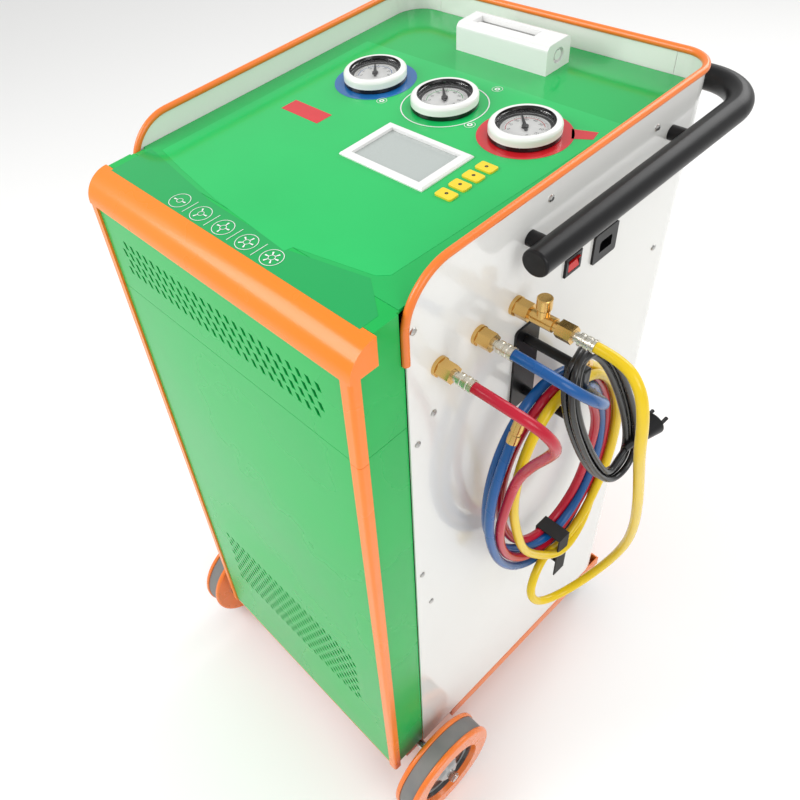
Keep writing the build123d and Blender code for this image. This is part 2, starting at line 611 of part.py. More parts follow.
def inlet_blades():
    """Earth and two pole blades of the mains inlet."""
    x = (PANEL_HALF_WIDTH - INLET_DEPTH, PANEL_HALF_WIDTH - 4)
    return [block(x, (INLET_Y + dy - 1, INLET_Y + dy + 1), (INLET_Z + dz - 2, INLET_Z + dz + 2))
            for dy, dz in ((-7.0, -2.0), (0.0, 2.5), (7.0, -2.0))]


def service_port(y):
    """One service port: flange ring on the panel and a brass union nut along +X."""
    w = PANEL_HALF_WIDTH
    ring = rod_x(w, w + 4, y, PORT_Z, 12) - rod_x(w - 1, w + 5, y, PORT_Z, PORT_HOLE_R - 0.5)
    stem = rod_x(w - 25, w + 4, y, PORT_Z, PORT_HOLE_R - 0.6)
    return [ring, stem + hex_x(w + 4, w + PORT_REACH, y, PORT_Z, 20)]


def hose_ferrule(x0, y):
    """Crimped metal end of one hose, from the nut it screws into."""
    return turned_x(x0, y, PORT_Z, [
        (0, 0), (0, 6), (3, 6), (3, 5), (7, 5), (7, 7.5), (11, 7.5), (12, 7), (14, 7), (15, 7.8), (19, 7.8),
        (20, 7.2), (22, 7.2), (23, 7.8), (FERRULE_LENGTH, 7.8), (FERRULE_LENGTH, 0)])


def hose_ferrules():
    """Ends of the red, blue and yellow hoses."""
    port_end = PANEL_HALF_WIDTH + PORT_REACH
    return [hose_ferrule(port_end, PORT_Y[0]), hose_ferrule(port_end, PORT_Y[1]),
            hose_ferrule(port_end + VALVE_LENGTH, PORT_Y[2])]


def valve_body():
    """Brass tee valve on the charging port, with the nut that takes the hose."""
    x0 = PANEL_HALF_WIDTH + PORT_REACH
    y, nut = PORT_Y[2], VALVE_LENGTH - 18
    body = turned_x(x0, y, PORT_Z, [
        (0, 0), (0, 7), (4, 7), (4, 8.5), (nut - 6, 8.5), (nut - 6, 6.5), (nut, 6.5), (nut, 0)])
    body += rod_z(x0 + VALVE_STEM, y, PORT_Z, PORT_Z + 15, 7)
    body -= rod_z(x0 + VALVE_STEM, y, PORT_Z + 5, PORT_Z + 20, SPINDLE_R + 0.1)
    return body + hex_x(x0 + nut, x0 + VALVE_LENGTH, y, PORT_Z, 19)


def valve_knob():
    """Round brass hand knob on the valve spindle."""
    x, y = PANEL_HALF_WIDTH + PORT_REACH + VALVE_STEM, PORT_Y[2]
    knob = rod_z(x, y, PORT_Z + 16, PORT_Z + 31, 8.5)
    knob = chamfer(knob.edges(), 1)
    return knob + rod_z(x, y, PORT_Z + 6, PORT_Z + 17, SPINDLE_R)


def coil_frame():
    """Upright plane of the hose coil, square to X and leaning towards the front."""
    lean = radians(COIL_LEAN)
    return Plane(origin=(COIL_X, *COIL_CENTRE), x_dir=(0, cos(lean), sin(lean)), z_dir=(1, 0, 0))


def hank_frame():
    """Plane of the folded mains cord: its local Y runs along the hank and its local X across it."""
    along = Vector(*HANK_DROP).normalized()
    outward = (Vector(1, 0, 0) - along * along.X).normalized()
    return Plane(origin=HANK_CENTRE, x_dir=along.cross(outward), z_dir=outward)


def ring_top(plane, half, section):
    """Highest inner point (y, z) of an oval ring in its plane."""
    width, length = half[0] - section[1], half[1] - section[1]
    across, along = plane.x_dir, plane.y_dir
    rise = hypot(width * across.Z, length * along.Z)
    shift = (width ** 2 * across.Y * across.Z + length ** 2 * along.Y * along.Z) / rise
    return plane.origin.Y + shift, plane.origin.Z + rise


def hose_hook():
    """Black steel bracket: a hooked arm for the hoses and a short arm above it for the mains cord."""
    w, reach, rod = PANEL_HALF_WIDTH, HOOK_REACH, HOOK_ROD_R
    y, z = ring_top(coil_frame(), COIL_HALF, COIL_SECTION)
    cord_y, cord_z = ring_top(hank_frame(), HANK_HALF, HANK_SECTION)
    z -= rod + HOOK_CLEARANCE
    cord_z -= rod + HOOK_CLEARANCE + HANK_SECTION[0] / 2 * hank_frame().z_dir.Z
    middle = (y + cord_y) / 2
    plate = block((w, w + 3), (middle - HOOK_PLATE / 2, middle + HOOK_PLATE / 2), (z - 20, cord_z + 20))
    plate = fillet(plate.edges().filter_by(Axis.X), 6)
    path = FilletPolyline((w + 2, y, z), (w + reach, y, z), (w + reach, y, z + HOOK_TIP), radius=HOOK_BEND_R)
    arm = sweep(Plane(origin=(w + 2, y, z), z_dir=(1, 0, 0)) * Circle(rod), path=path)
    cord_arm = rod_x(w + 2, w + reach + rod, cord_y, cord_z, rod)
    cord_arm = fillet(cord_arm.edges().sort_by(Axis.X)[-1], rod / 2)
    return plate + arm + cord_arm


def axle():
    """Steel axle between the two front wheels, with a nut and washer at each end."""
    end = WHEEL_INNER_X + WHEEL_WIDTH + 10
    shaft = rod_x(-end, end, WHEEL_Y, WHEEL_R, AXLE_R)
    inner_collar = rod_x(WHEEL_INNER_X - 8, WHEEL_INNER_X - 1, WHEEL_Y, WHEEL_R, AXLE_R + 5)
    nut = hex_x(WHEEL_INNER_X + WHEEL_WIDTH + 1, WHEEL_INNER_X + WHEEL_WIDTH + 7, WHEEL_Y, WHEEL_R, 18)
    extras = inner_collar + nut
    return shaft + extras + mirrored(extras)


def wheel_rim():
    """Orange wheel of the +X side: two rounded flanges round the tread groove, a dished face and a hub boss."""
    x0, wide, r = WHEEL_INNER_X, WHEEL_WIDTH, WHEEL_R
    groove, floor = (wide - TREAD_WIDTH) / 2, r - TREAD_SUNK - TREAD_THICKNESS
    dish, face = wide - DISH_DEPTH, RIM_FACE_R
    outline = make_face(Polyline(
        (0, 0), (0, r), (groove, r), (groove, floor), (wide - groove, floor), (wide - groove, r), (wide, r),
        (wide, face), (wide - 8, face - 2), (wide - 8, face - 6), (dish, face - 8), (dish, HUB_R + 6),
        (dish + 3, HUB_R), (wide - 5, HUB_R - 4), (wide - 3, HUB_R - 8), (wide - 3, 0), close=True))
    for corners, radius in (((0, wide), groove * 0.55), ((groove, wide - groove), groove * 0.25)):
        rims = outline.vertices().filter_by(lambda v: v.Y > r - 0.1 and min(abs(v.X - x) for x in corners) < 0.1)
        outline = fillet(rims, radius)
    plane = Plane(origin=(x0, WHEEL_Y, r), x_dir=(1, 0, 0), z_dir=(0, -1, 0))
    rim = revolve(plane * outline, Axis((x0, WHEEL_Y, r), (1, 0, 0)))
    return rim - rod_x(x0 - 5, x0 + wide + 5, WHEEL_Y, r, AXLE_R + AXLE_FIT)


def tyre():
    """Grey rubber tread band sunk in the wheel's groove."""
    x0, r = WHEEL_INNER_X + (WHEEL_WIDTH - TREAD_WIDTH) / 2, WHEEL_R - TREAD_SUNK
    band = rod_x(x0, x0 + TREAD_WIDTH, WHEEL_Y, WHEEL_R, r)
    band = fillet(band.edges(), 1)
    return band - rod_x(x0 - 1, x0 + TREAD_WIDTH + 1, WHEEL_Y, WHEEL_R, r - TREAD_THICKNESS)


def caster_plate():
    """Top plate of the +X caster, bolted under the base pan."""
    top = CHASSIS_BOTTOM_Z
    plate = block((CASTER_X - 32, CASTER_X + 32), (CASTER_Y - 32, CASTER_Y + 32), (top - 3, top))
    plate += rod_z(CASTER_X, CASTER_Y, top - 6, top - 3, 20)
    return plate + rod_z(CASTER_X, CASTER_Y, top - 9, top - 3, CASTER_PIN_R)


def caster_fork():
    """Fork of the +X caster with its wheel pin."""
    top = CHASSIS_BOTTOM_Z - 6.3
    half = CASTER_WIDTH / 2 + 1
    axle_y = CASTER_Y + CASTER_TRAIL
    crown = rod_z(CASTER_X, CASTER_Y, top - 3, top, 22) - rod_z(CASTER_X, CASTER_Y, top - 4, top + 1, CASTER_PIN_R + 0.3)
    profile = make_face(Polyline(
        (CASTER_Y - 14, top), (CASTER_Y + 20, top), (axle_y + 12, CASTER_R + 6), (axle_y + 10, CASTER_R - 12),
        (axle_y - 10, CASTER_R - 12), close=True))
    leg = extrude(Plane(origin=(CASTER_X + half, 0, 0), x_dir=(0, 1, 0), z_dir=(1, 0, 0)) * profile, 2.5)
    other = Pos(-2 * half - 2.5, 0, 0) * leg
    pin = rod_x(CASTER_X - half - 4, CASTER_X + half + 4, axle_y, CASTER_R, CASTER_PIN_R)
    head = rod_x(CASTER_X + half + 2.5, CASTER_X + half + 6, axle_y, CASTER_R, 7)
    tail = rod_x(CASTER_X - half - 6, CASTER_X - half - 2.5, axle_y, CASTER_R, 7)
    return crown + leg + other + pin + head + tail


def caster_wheel():
    """Black caster wheel with a raised hub."""
    y = CASTER_Y + CASTER_TRAIL
    x0, x1 = CASTER_X - CASTER_WIDTH / 2 + 0.6, CASTER_X + CASTER_WIDTH / 2 - 0.6
    wheel = rod_x(x0 + 1.5, x1 - 1.5, y, CASTER_R, CASTER_R)
    wheel = fillet(wheel.edges(), 6)
    wheel += rod_x(x0, x1, y, CASTER_R, 12)
    return wheel - rod_x(x0 - 1, x1 + 1, y, CASTER_R, CASTER_PIN_R + AXLE_FIT)


def panel_screws():
    """Pan-head screws on both side panels, and the two that fix each side of the handle."""
    front, rear = PANEL_FRONT_Y, REAR_Y
    spots = [(front + dy, DECK_Z - drop) for dy, drop in UPPER_FRONT_SCREWS]
    spots += [(front + dy, z) for dy, z in LOWER_FRONT_SCREWS]
    spots += [(rear - dy, DECK_Z - drop) for dy, drop in UPPER_REAR_SCREWS]
    spots += [(rear - dy, z) for dy, z in LOWER_REAR_SCREWS]
    spots.append((STANDOFF_Y[0] + HANDLE_SCREW[0], HANDLE_Z + HANDLE_SCREW[1]))
    screws = []
    for y, z in spots:
        head = turned_x(PANEL_HALF_WIDTH, y, z, [(0, 0), (0, 4.5), (1.5, 4), (2.4, 2.2), (2.4, 0)])
        screws += [head, mirrored(head)]
    return screws


def refrigerant_tank():
    """Steel storage cylinder with domed ends, a bored neck and a foot ring, standing on the scale."""
    base = PAN_FLOOR_Z + SCALE_HEIGHT
    low, high, wall = base + 12, base + 12 + TANK_HEIGHT, TANK_WALL
    shell = fillet(rod_z(0, TANK_Y, low, high, TANK_R).edges(), TANK_R * 0.45)
    shell += rod_z(0, TANK_Y, high - wall, high + 30, TANK_NECK_R)
    inner = fillet(rod_z(0, TANK_Y, low + wall, high - wall, TANK_R - wall).edges(), TANK_R * 0.45 - wall)
    shell -= inner + rod_z(0, TANK_Y, high - 2 * wall, high + 31, TANK_NECK_R - 5)
    foot = rod_z(0, TANK_Y, base, base + 34, TANK_R * 0.62) - rod_z(0, TANK_Y, base - 1, base + 35, TANK_R * 0.62 - 4)
    return shell + (foot - fillet(rod_z(0, TANK_Y, low, high, TANK_R).edges(), TANK_R * 0.45))


def scale_platform():
    """Weighing platform: base beam, load cell and top tray."""
    z, top = PAN_FLOOR_Z, PAN_FLOOR_Z + SCALE_HEIGHT
    low = block((-95, 95), (TANK_Y - 80, TANK_Y + 80), (z, z + 6))
    cell = block((-65, 65), (TANK_Y - 15, TANK_Y + 15), (z + 6, top - SCALE_TRAY))
    return low + cell + block((-95, 95), (TANK_Y - 80, TANK_Y + 80), (top - SCALE_TRAY, top))


def shelf():
    """Inner steel shelf that carries the pumps and is fixed to both side panels."""
    half = PANEL_HALF_WIDTH - SHEET - 0.3
    y = (PANEL_FRONT_Y + 14, REAR_Y - REAR_CORNER_R - 8)
    lip = block((half - 2, half), y, (SHELF_Z, SHELF_Z + 22))
    return block((-half, half), y, (SHELF_Z - SHELF_SHEET, SHELF_Z)) + lip + mirrored(lip)


def compressor():
    """Hermetic compressor: welded can on two feet with a suction stub."""
    x, y = COMPRESSOR_AT
    foot, top = SHELF_Z + COMPRESSOR_FOOT, SHELF_Z + COMPRESSOR_FOOT + COMPRESSOR_HEIGHT
    can = fillet(rod_z(x, y, foot, top, COMPRESSOR_R).edges(), COMPRESSOR_R * 0.4)
    feet = block((x - COMPRESSOR_R - 7, x + COMPRESSOR_R + 7), (y - 14, y + 14), (SHELF_Z, foot + 2))
    stub = rod_z(x + COMPRESSOR_R / 2, y + COMPRESSOR_R / 2, top - 50, top + 16, 6)
    return can + feet + stub


def vacuum_pump():
    """Two-stage vacuum pump: motor barrel, pump block and foot."""
    x, z = 95, SHELF_Z + PUMP_AXIS_RISE
    motor = rod_y(x, 120, 300, z, PUMP_MOTOR_R)
    head = block((x - 45, x + 45), (300, 372), (SHELF_Z, z + PUMP_MOTOR_R - 4))
    return motor + head + block((x - 35, x + 35), (140, 300), (SHELF_Z, z - PUMP_MOTOR_R + 6))


def condenser_unit():
    """Finned condenser with its shroud plate, fan bracket and motor, standing behind the lower vent."""
    y, z0, half = CONDENSER_Y, PAN_FLOOR_Z, CONDENSER_HALF
    z1, mid, back = z0 + 2 * half, z0 + half, y + CONDENSER_DEPTH
    coil = block((-half, half), (y, back), (z0, z1))
    for index in range(1, 15):
        z = z0 + index * 20
        coil -= block((-half + 10, half - 10), (y - 1, y + 10), (z, z + 10))
    opening = FAN_R + FAN_TIP_GAP
    coil -= rod_y(0, back - 14, back + 1, mid, opening)
    shroud = block((-half, half), (back, back + 4), (z0, z1)) - rod_y(0, back - 1, back + 5, mid, opening)
    arm = opening + 15
    bracket = block((-arm, arm), (back + 34, back + 38), (mid - 12, mid + 12))
    for side in (-1, 1):
        bracket += block(sorted((side * (arm - 4), side * arm)), (back + 4, back + 38), (mid - 12, mid + 12))
    return [coil, shroud, bracket + rod_y(0, back + 12, back + 34, mid, 30)]


def condenser_fan():
    """Five-bladed fan in front of its motor."""
    y, z = CONDENSER_Y + CONDENSER_DEPTH, PAN_FLOOR_Z + CONDENSER_HALF
    fan = rod_y(0, y - 8, y + 10, z, 24)
    for index in range(5):
        blade = Pos(FAN_R / 2 + 8, y + 1, 0) * Rot(28, 0, 0) * Box(FAN_R - 24, 2, 42)
        fan += Pos(0, 0, z) * Rot(0, index * 72, 0) * blade
    return fan


def manifold_block():
    """Aluminium valve manifold with its filter drier, bolted on the shelf."""
    top, y = SHELF_Z + MANIFOLD_HEIGHT, 405
    body = block((-70, 70), (y - 25, y + 25), (SHELF_Z, top))
    for x in (-48, -16, 16, 48):
        body += rod_z(x, y, top, top + 45, 15)
    drier = fillet(rod_x(-75, 75, y + 75, SHELF_Z + DRIER_R, DRIER_R).edges(), 12)
    saddle = block((-30, 30), (y + 50, y + 100), (SHELF_Z, SHELF_Z + 10))
    return [body, drier + saddle]


def cord_path(points):
    """Rounded route through the points: each arc takes 0.45 of its shorter run."""
    vectors = [Vector(*p) for p in points]
    radii = []
    for a, b, c in zip(vectors, vectors[1:], vectors[2:]):
        turn = radians((b - a).get_angle(c - b))
        radii.append(0.45 * min((b - a).length, (c - b).length) / tan(turn / 2))
    return FilletPolyline(*points, radius=radii), radii


def cord(name, points, radius):
    """Round cord along its route, with its radii printed and its volume compared with section times length."""
    path, radii = cord_path(points)
    start = Vector(*points[1]) - Vector(*points[0])
    tube = sweep(Plane(origin=points[0], z_dir=start.normalized()) * Circle(radius), path=path)
    expected = pi * radius ** 2 * path.length
    print(name, "length", round(path.length), "radii", [round(r) for r in radii],
          "volume ratio", round(tube.volume / expected, 3))
    return tube


def oval_ring(plane, half, section):
    """Flat oval ring in a plane: the outer shape of a coil, section being its thickness and its width."""
    outline = Ellipse(*half) - Ellipse(half[0] - section[1], half[1] - section[1])
    return extrude(plane * outline, section[0] / 2, both=True)


def hose_coil():
    """Outer shape of the coiled hoses."""
    return oval_ring(coil_frame(), COIL_HALF, COIL_SECTION)


def power_cord_coil():
    """Outer shape of the folded mains cord."""
    return oval_ring(hank_frame(), HANK_HALF, HANK_SECTION)


def plug_seat():
    """Point beside the hank's rim from which the plug points to the rear."""
    plane, angle = hank_frame(), radians(PLUG_ANGLE)
    across, along = plane.x_dir, plane.y_dir
    if across.Y < 0:
        across = -across
    if along.Z < 0:
        along = -along
    rim = plane.origin + along * (HANK_HALF[1] * cos(angle)) + across * (HANK_HALF[0] * sin(angle))
    return rim + Vector(0, PLUG_OFF_HANK, 0)


def power_plug():
    """Mains plug at the free end of the hank, with its two pins."""
    x, y, z = plug_seat()
    end = y + PLUG_LENGTH
    body = loft([Plane(origin=(x, y, z), z_dir=(0, 1, 0)) * Circle(8),
                 Plane(origin=(x, end, z), z_dir=(0, 1, 0)) * Circle(PLUG_R)])
    for dx in (-PLUG_PIN_SPREAD, PLUG_PIN_SPREAD):
        body += rod_y(x + dx, end, end + PLUG_PIN_LENGTH, z, PLUG_PIN_R)
    return body


def hose_strap():
    """Hook-and-loop strap round the bottom of the hose coil, with its loose tail."""
    plane, wall, clear = coil_frame(), STRAP_WALL, STRAP_CLEARANCE
    drop = hypot(COIL_HALF[0] * plane.x_dir.Z, COIL_HALF[1] * plane.y_dir.Z)
    y_middle = COIL_CENTRE[0] + (COIL_CENTRE[0] - ring_top(plane, COIL_HALF, COIL_SECTION)[0])
    bottom = COIL_CENTRE[1] - drop
    x, lift = COIL_SECTION[0] / 2 + clear, COIL_SECTION[1] + 2 * clear
    y = (y_middle - STRAP_WIDTH / 2, y_middle + STRAP_WIDTH / 2)
    outer = block((COIL_X - x - wall, COIL_X + x + wall), y, (bottom - clear - wall, bottom + lift + wall))
    inner = block((COIL_X - x, COIL_X + x), (y[0] - 1, y[1] + 1), (bottom - clear, bottom + lift))
    tail = block((COIL_X + x, COIL_X + x + wall), y, (bottom - STRAP_TAIL, bottom))
    return outer - inner + tail


def main():
    os.makedirs("parts", exist_ok=True)
    blank = panel_blank()
    save("base_chassis", chassis())
    save("rear_lower_cover", rear_cover())
    save("right_side_panel", right_panel())
    save("left_side_panel", mirrored(blank))
    save("back_panel", back_panel())
    save("edge_trim", edge_trim([blank, mirrored(blank), back_panel()]))
    save("control_deck", control_deck())
    save("upper_fascia", upper_fascia())
    save("upper_fascia_frame", upper_frame())
    save("lower_fascia", lower_fascia())
    save("lower_fascia_frame", lower_frame())
    save("push_handle", push_handle())
    save("handle_fittings", *handle_end_caps(), *handle_standoffs())
    save("display_bezel", display_bezel())
    save("display_screen", display_screen())
    save("gauge_cases", *gauge_cases(), *gauge_dials())
    save("gauge_glasses", *gauge_glasses())
    for number, x in enumerate(GAUGE_X, 1):
        save(f"gauge_pointer_{number}", gauge_pointer(x))
    for index in range(4):
        save(f"key_{index + 1}", key(index))
    save("printer_housing", printer_housing())
    save("paper_roll", paper_roll())
    save("switch_bezel", rocker_bezel())
    save("rocker_switch", rocker())
    save("power_inlet", power_inlet(), *inlet_blades())
    save("service_ports", *[solid for y in PORT_Y for solid in service_port(y)])
    save("valve_body", valve_body())
    save("valve_knob", valve_knob())
    save("hose_hook", hose_hook())
    save("panel_screws", *panel_screws())
    save("front_axle", axle())
    rim, band = wheel_rim(), tyre()
    save("right_wheel_rim", rim)
    save("left_wheel_rim", mirrored(rim))
    save("right_tyre", band)
    save("left_tyre", mirrored(band))
    plate, fork, roller = caster_plate(), caster_fork(), caster_wheel()
    save("caster_plates", plate, mirrored(plate))
    save("right_caster_fork", fork)
    save("left_caster_fork", mirrored(fork))
    save("right_caster_wheel", roller)
    save("left_caster_wheel", mirrored(roller))
    save("inner_shelf", shelf())
    save("refrigerant_tank", refrigerant_tank())
    save("scale_platform", scale_platform())
    save("compressor", compressor())
    save("vacuum_pump", vacuum_pump())
    save("condenser_unit", *condenser_unit())
    save("condenser_fan", condenser_fan())
    save("manifold_block", *manifold_block())
    save("red_hose", cord("red_hose", RED_ROUTE, HOSE_R))
    save("blue_hose", cord("blue_hose", BLUE_ROUTE, HOSE_R))
    save("yellow_hose", cord("yellow_hose", YELLOW_ROUTE, HOSE_R))
    save("hose_ferrules", *hose_ferrules())
    save("hose_coil", hose_coil())
    save("hose_strap", hose_strap())
    save("power_cord_coil", power_cord_coil())
    save("power_plug", power_plug())


if __name__ == "__main__":
    main()
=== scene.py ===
from math import cos, pi, radians, sin, tau

import bmesh
import bpy
from mathutils import Matrix, Vector


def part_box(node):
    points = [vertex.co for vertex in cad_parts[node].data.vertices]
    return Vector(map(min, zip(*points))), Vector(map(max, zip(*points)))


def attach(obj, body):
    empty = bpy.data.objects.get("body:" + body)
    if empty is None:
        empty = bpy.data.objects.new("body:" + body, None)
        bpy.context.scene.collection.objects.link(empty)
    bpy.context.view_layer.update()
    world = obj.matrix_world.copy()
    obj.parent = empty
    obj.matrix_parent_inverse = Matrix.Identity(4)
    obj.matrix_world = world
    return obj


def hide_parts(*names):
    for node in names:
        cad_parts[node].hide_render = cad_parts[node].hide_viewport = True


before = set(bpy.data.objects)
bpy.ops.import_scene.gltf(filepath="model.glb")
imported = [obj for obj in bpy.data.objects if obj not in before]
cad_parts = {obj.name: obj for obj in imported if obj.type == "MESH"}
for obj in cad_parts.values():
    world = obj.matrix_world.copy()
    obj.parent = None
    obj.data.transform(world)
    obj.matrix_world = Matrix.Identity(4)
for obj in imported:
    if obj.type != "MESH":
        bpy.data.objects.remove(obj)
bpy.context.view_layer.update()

scene = bpy.context.scene


# The studio: a pale floor under a white sky, one large soft light from the left and a weaker one from the
# right. The camera stands in front of the machine on its service side and looks down on the deck.
FRONT_FACE_Y = 0.324
CAMERA_AT = (0.632, -0.641, 1.672)
CAMERA_ACROSS = (0.6425, 0.7535, -0.1397)
CAMERA_UP = (-0.4669, 0.5294, 0.7084)


def node_tree(owner):
    """Node tree of a new material or world, emptied."""
    owner.use_nodes = True
    owner.node_tree.nodes.clear()
    return owner.node_tree


def link(tree, *pairs):
    """Join output and input sockets of a node tree, two by two."""
    for out, into in pairs:
        tree.links.new(out, into)


def add_light(name, at, towards, size, power):
    data = bpy.data.lights.new(name, "AREA")
    data.size, data.energy = size, power
    lamp = bpy.data.objects.new(name, data)
    lamp.location = at
    lamp.rotation_euler = (Vector(towards) - Vector(at)).to_track_quat("-Z", "Y").to_euler()
    scene.collection.objects.link(lamp)


camera = bpy.data.objects.new("camera", bpy.data.cameras.new("camera"))
camera.data.sensor_width = 36
camera.data.lens = 36.05
camera.data.shift_x, camera.data.shift_y = 0.1475, -0.0588
across, upward = Vector(CAMERA_ACROSS).normalized(), Vector(CAMERA_UP).normalized()
camera.matrix_world = Matrix.Translation(CAMERA_AT) @ Matrix(
    (across, upward, across.cross(upward))).transposed().to_4x4()
scene.collection.objects.link(camera)
scene.camera = camera
scene.view_settings.view_transform = "Standard"

world = bpy.data.worlds.new("white_sky")
scene.world = world
sky = node_tree(world)
sky_light = sky.nodes.new("ShaderNodeBackground")
sky_light.inputs["Color"].default_value = (1.0, 1.0, 1.0, 1)
sky_light.inputs["Strength"].default_value = 0.72
sky_out = sky.nodes.new("ShaderNodeOutputWorld")
link(sky, (sky_light.outputs[0], sky_out.inputs[0]))
add_light("soft_left", (-1.6, -2.2, 2.9), (0, 0, 0.7), 1.8, 62)
add_light("soft_right", (2.6, -0.8, 2.4), (0.2, 0, 0.7), 1.6, 26)
add_light("soft_back", (0.3, 2.6, 2.8), (0, 0, 0.9), 2.0, 45)

floor_mesh = bpy.data.meshes.new("floor")
bm = bmesh.new()
bmesh.ops.create_grid(bm, x_segments=1, y_segments=1, size=6.0)
bm.to_mesh(floor_mesh)
bm.free()
floor = bpy.data.objects.new("floor", floor_mesh)
scene.collection.objects.link(floor)
floor_paint = bpy.data.materials.new("pale_floor")
tree = node_tree(floor_paint)
floor_shader = tree.nodes.new("ShaderNodeBsdfPrincipled")
floor_shader.inputs["Base Color"].default_value = (0.93, 0.93, 0.92, 1)
floor_shader.inputs["Roughness"].default_value = 0.6
floor_out = tree.nodes.new("ShaderNodeOutputMaterial")
link(tree, (floor_shader.outputs[0], floor_out.inputs[0]))
floor_mesh.materials.append(floor_paint)


# Base chassis and rear lower cover: folded steel sheet in orange powder coat, which cures to a slight
# orange peel. The two parts are riveted together and everything else stands on them.
ORANGE = (0.86, 0.19, 0.015)


def new_group(name, inputs, outputs):
    """Empty shader node group with named inputs (kind, name, value) and outputs (kind, name)."""
    group = bpy.data.node_groups.new(name, "ShaderNodeTree")
    for kind, label, value in inputs:
        item = group.interface.new_socket(label, in_out="INPUT", socket_type="NodeSocket" + kind)
        item.default_value = value
    for kind, label in outputs:
        group.interface.new_socket(label, in_out="OUTPUT", socket_type="NodeSocket" + kind)
    return group, group.nodes.new("NodeGroupInput"), group.nodes.new("NodeGroupOutput")


def uneven_finish_group():
    """Cured paint or moulded plastic: slow changes of tone and gloss, and a fine surface grain."""
    group, given, result = new_group(
        "uneven_finish",
        (("Color", "Colour", (0.8, 0.8, 0.8, 1)), ("Float", "Tone change", 0.05), ("Float", "Patch scale", 7.0),
         ("Float", "Smoothest", 0.2), ("Float", "Roughest", 0.35), ("Float", "Grain scale", 500.0)),
        (("Color", "Colour"), ("Float", "Roughness"), ("Float", "Height")))
    place = group.nodes.new("ShaderNodeTexCoord")
    patches = group.nodes.new("ShaderNodeTexNoise")
    patches.inputs["Detail"].default_value = 4
    grain = group.nodes.new("ShaderNodeTexNoise")
    tone = group.nodes.new("ShaderNodeMapRange")
    darkest = group.nodes.new("ShaderNodeMath")
    darkest.operation = "SUBTRACT"
    darkest.inputs[0].default_value = 1.0
    shade = group.nodes.new("ShaderNodeHueSaturation")
    gloss = group.nodes.new("ShaderNodeMapRange")
    link(group,
         (place.outputs["Object"], patches.inputs["Vector"]), (place.outputs["Object"], grain.inputs["Vector"]),
         (given.outputs["Patch scale"], patches.inputs["Scale"]), (given.outputs["Grain scale"], grain.inputs["Scale"]),
         (given.outputs["Tone change"], darkest.inputs[1]),
         (patches.outputs["Fac"], tone.inputs["Value"]), (darkest.outputs[0], tone.inputs["To Min"]),
         (tone.outputs["Result"], shade.inputs["Value"]), (given.outputs["Colour"], shade.inputs["Color"]),
         (patches.outputs["Fac"], gloss.inputs["Value"]), (given.outputs["Smoothest"], gloss.inputs["To Min"]),
         (given.outputs["Roughest"], gloss.inputs["To Max"]),
         (shade.outputs["Color"], result.inputs["Colour"]), (gloss.outputs["Result"], result.inputs["Roughness"]),
         (grain.outputs["Fac"], result.inputs["Height"]))
    for ranged in (tone, gloss):
        ranged.inputs["From Min"].default_value = 0.3
        ranged.inputs["From Max"].default_value = 0.7
    return group


def dust_group():
    """Mask of the dust and scuffs that gather low down."""
    group, given, result = new_group(
        "settled_dust", (("Float", "Amount", 0.1), ("Float", "Scale", 30.0)), (("Float", "Mask"),))
    place = group.nodes.new("ShaderNodeTexCoord")
    specks = group.nodes.new("ShaderNodeTexNoise")
    specks.inputs["Detail"].default_value = 6
    height = group.nodes.new("ShaderNodeSeparateXYZ")
    low = group.nodes.new("ShaderNodeMapRange")
    low.inputs["From Min"].default_value = 0.0
    low.inputs["From Max"].default_value = 0.7
    low.inputs["To Min"].default_value = 1.0
    low.inputs["To Max"].default_value = 0.25
    product = group.nodes.new("ShaderNodeMath")
    product.operation = "MULTIPLY"
    scaled = group.nodes.new("ShaderNodeMath")
    scaled.operation = "MULTIPLY"
    scaled.use_clamp = True
    link(group,
         (place.outputs["Object"], specks.inputs["Vector"]), (given.outputs["Scale"], specks.inputs["Scale"]),
         (place.outputs["Object"], height.inputs["Vector"]), (height.outputs["Z"], low.inputs["Value"]),
         (specks.outputs["Fac"], product.inputs[0]), (low.outputs["Result"], product.inputs[1]),
         (product.outputs[0], scaled.inputs[0]), (given.outputs["Amount"], scaled.inputs[1]),
         (scaled.outputs[0], result.inputs["Mask"]))
    return group


uneven_finish = uneven_finish_group()
settled_dust = dust_group()


def shader_base(name):
    """New material with a Principled shader wired to its output."""
    material = bpy.data.materials.new(name)
    tree = node_tree(material)
    shader = tree.nodes.new("ShaderNodeBsdfPrincipled")
    out = tree.nodes.new("ShaderNodeOutputMaterial")
    link(tree, (shader.outputs["BSDF"], out.inputs["Surface"]))
    return material, tree, shader


def place_group(tree, group, **values):
    """Place a node group in a material, with input values named by words joined with underscores."""
    node = tree.nodes.new("ShaderNodeGroup")
    node.node_tree = group
    for label, value in values.items():
        node.inputs[label.replace("_", " ")].default_value = value
    return node


def add_bump(tree, shader, height, distance, strength=1.0):
    bump = tree.nodes.new("ShaderNodeBump")
    bump.inputs["Distance"].default_value = distance
    bump.inputs["Strength"].default_value = strength
    link(tree, (height, bump.inputs["Height"]), (bump.outputs["Normal"], shader.inputs["Normal"]))


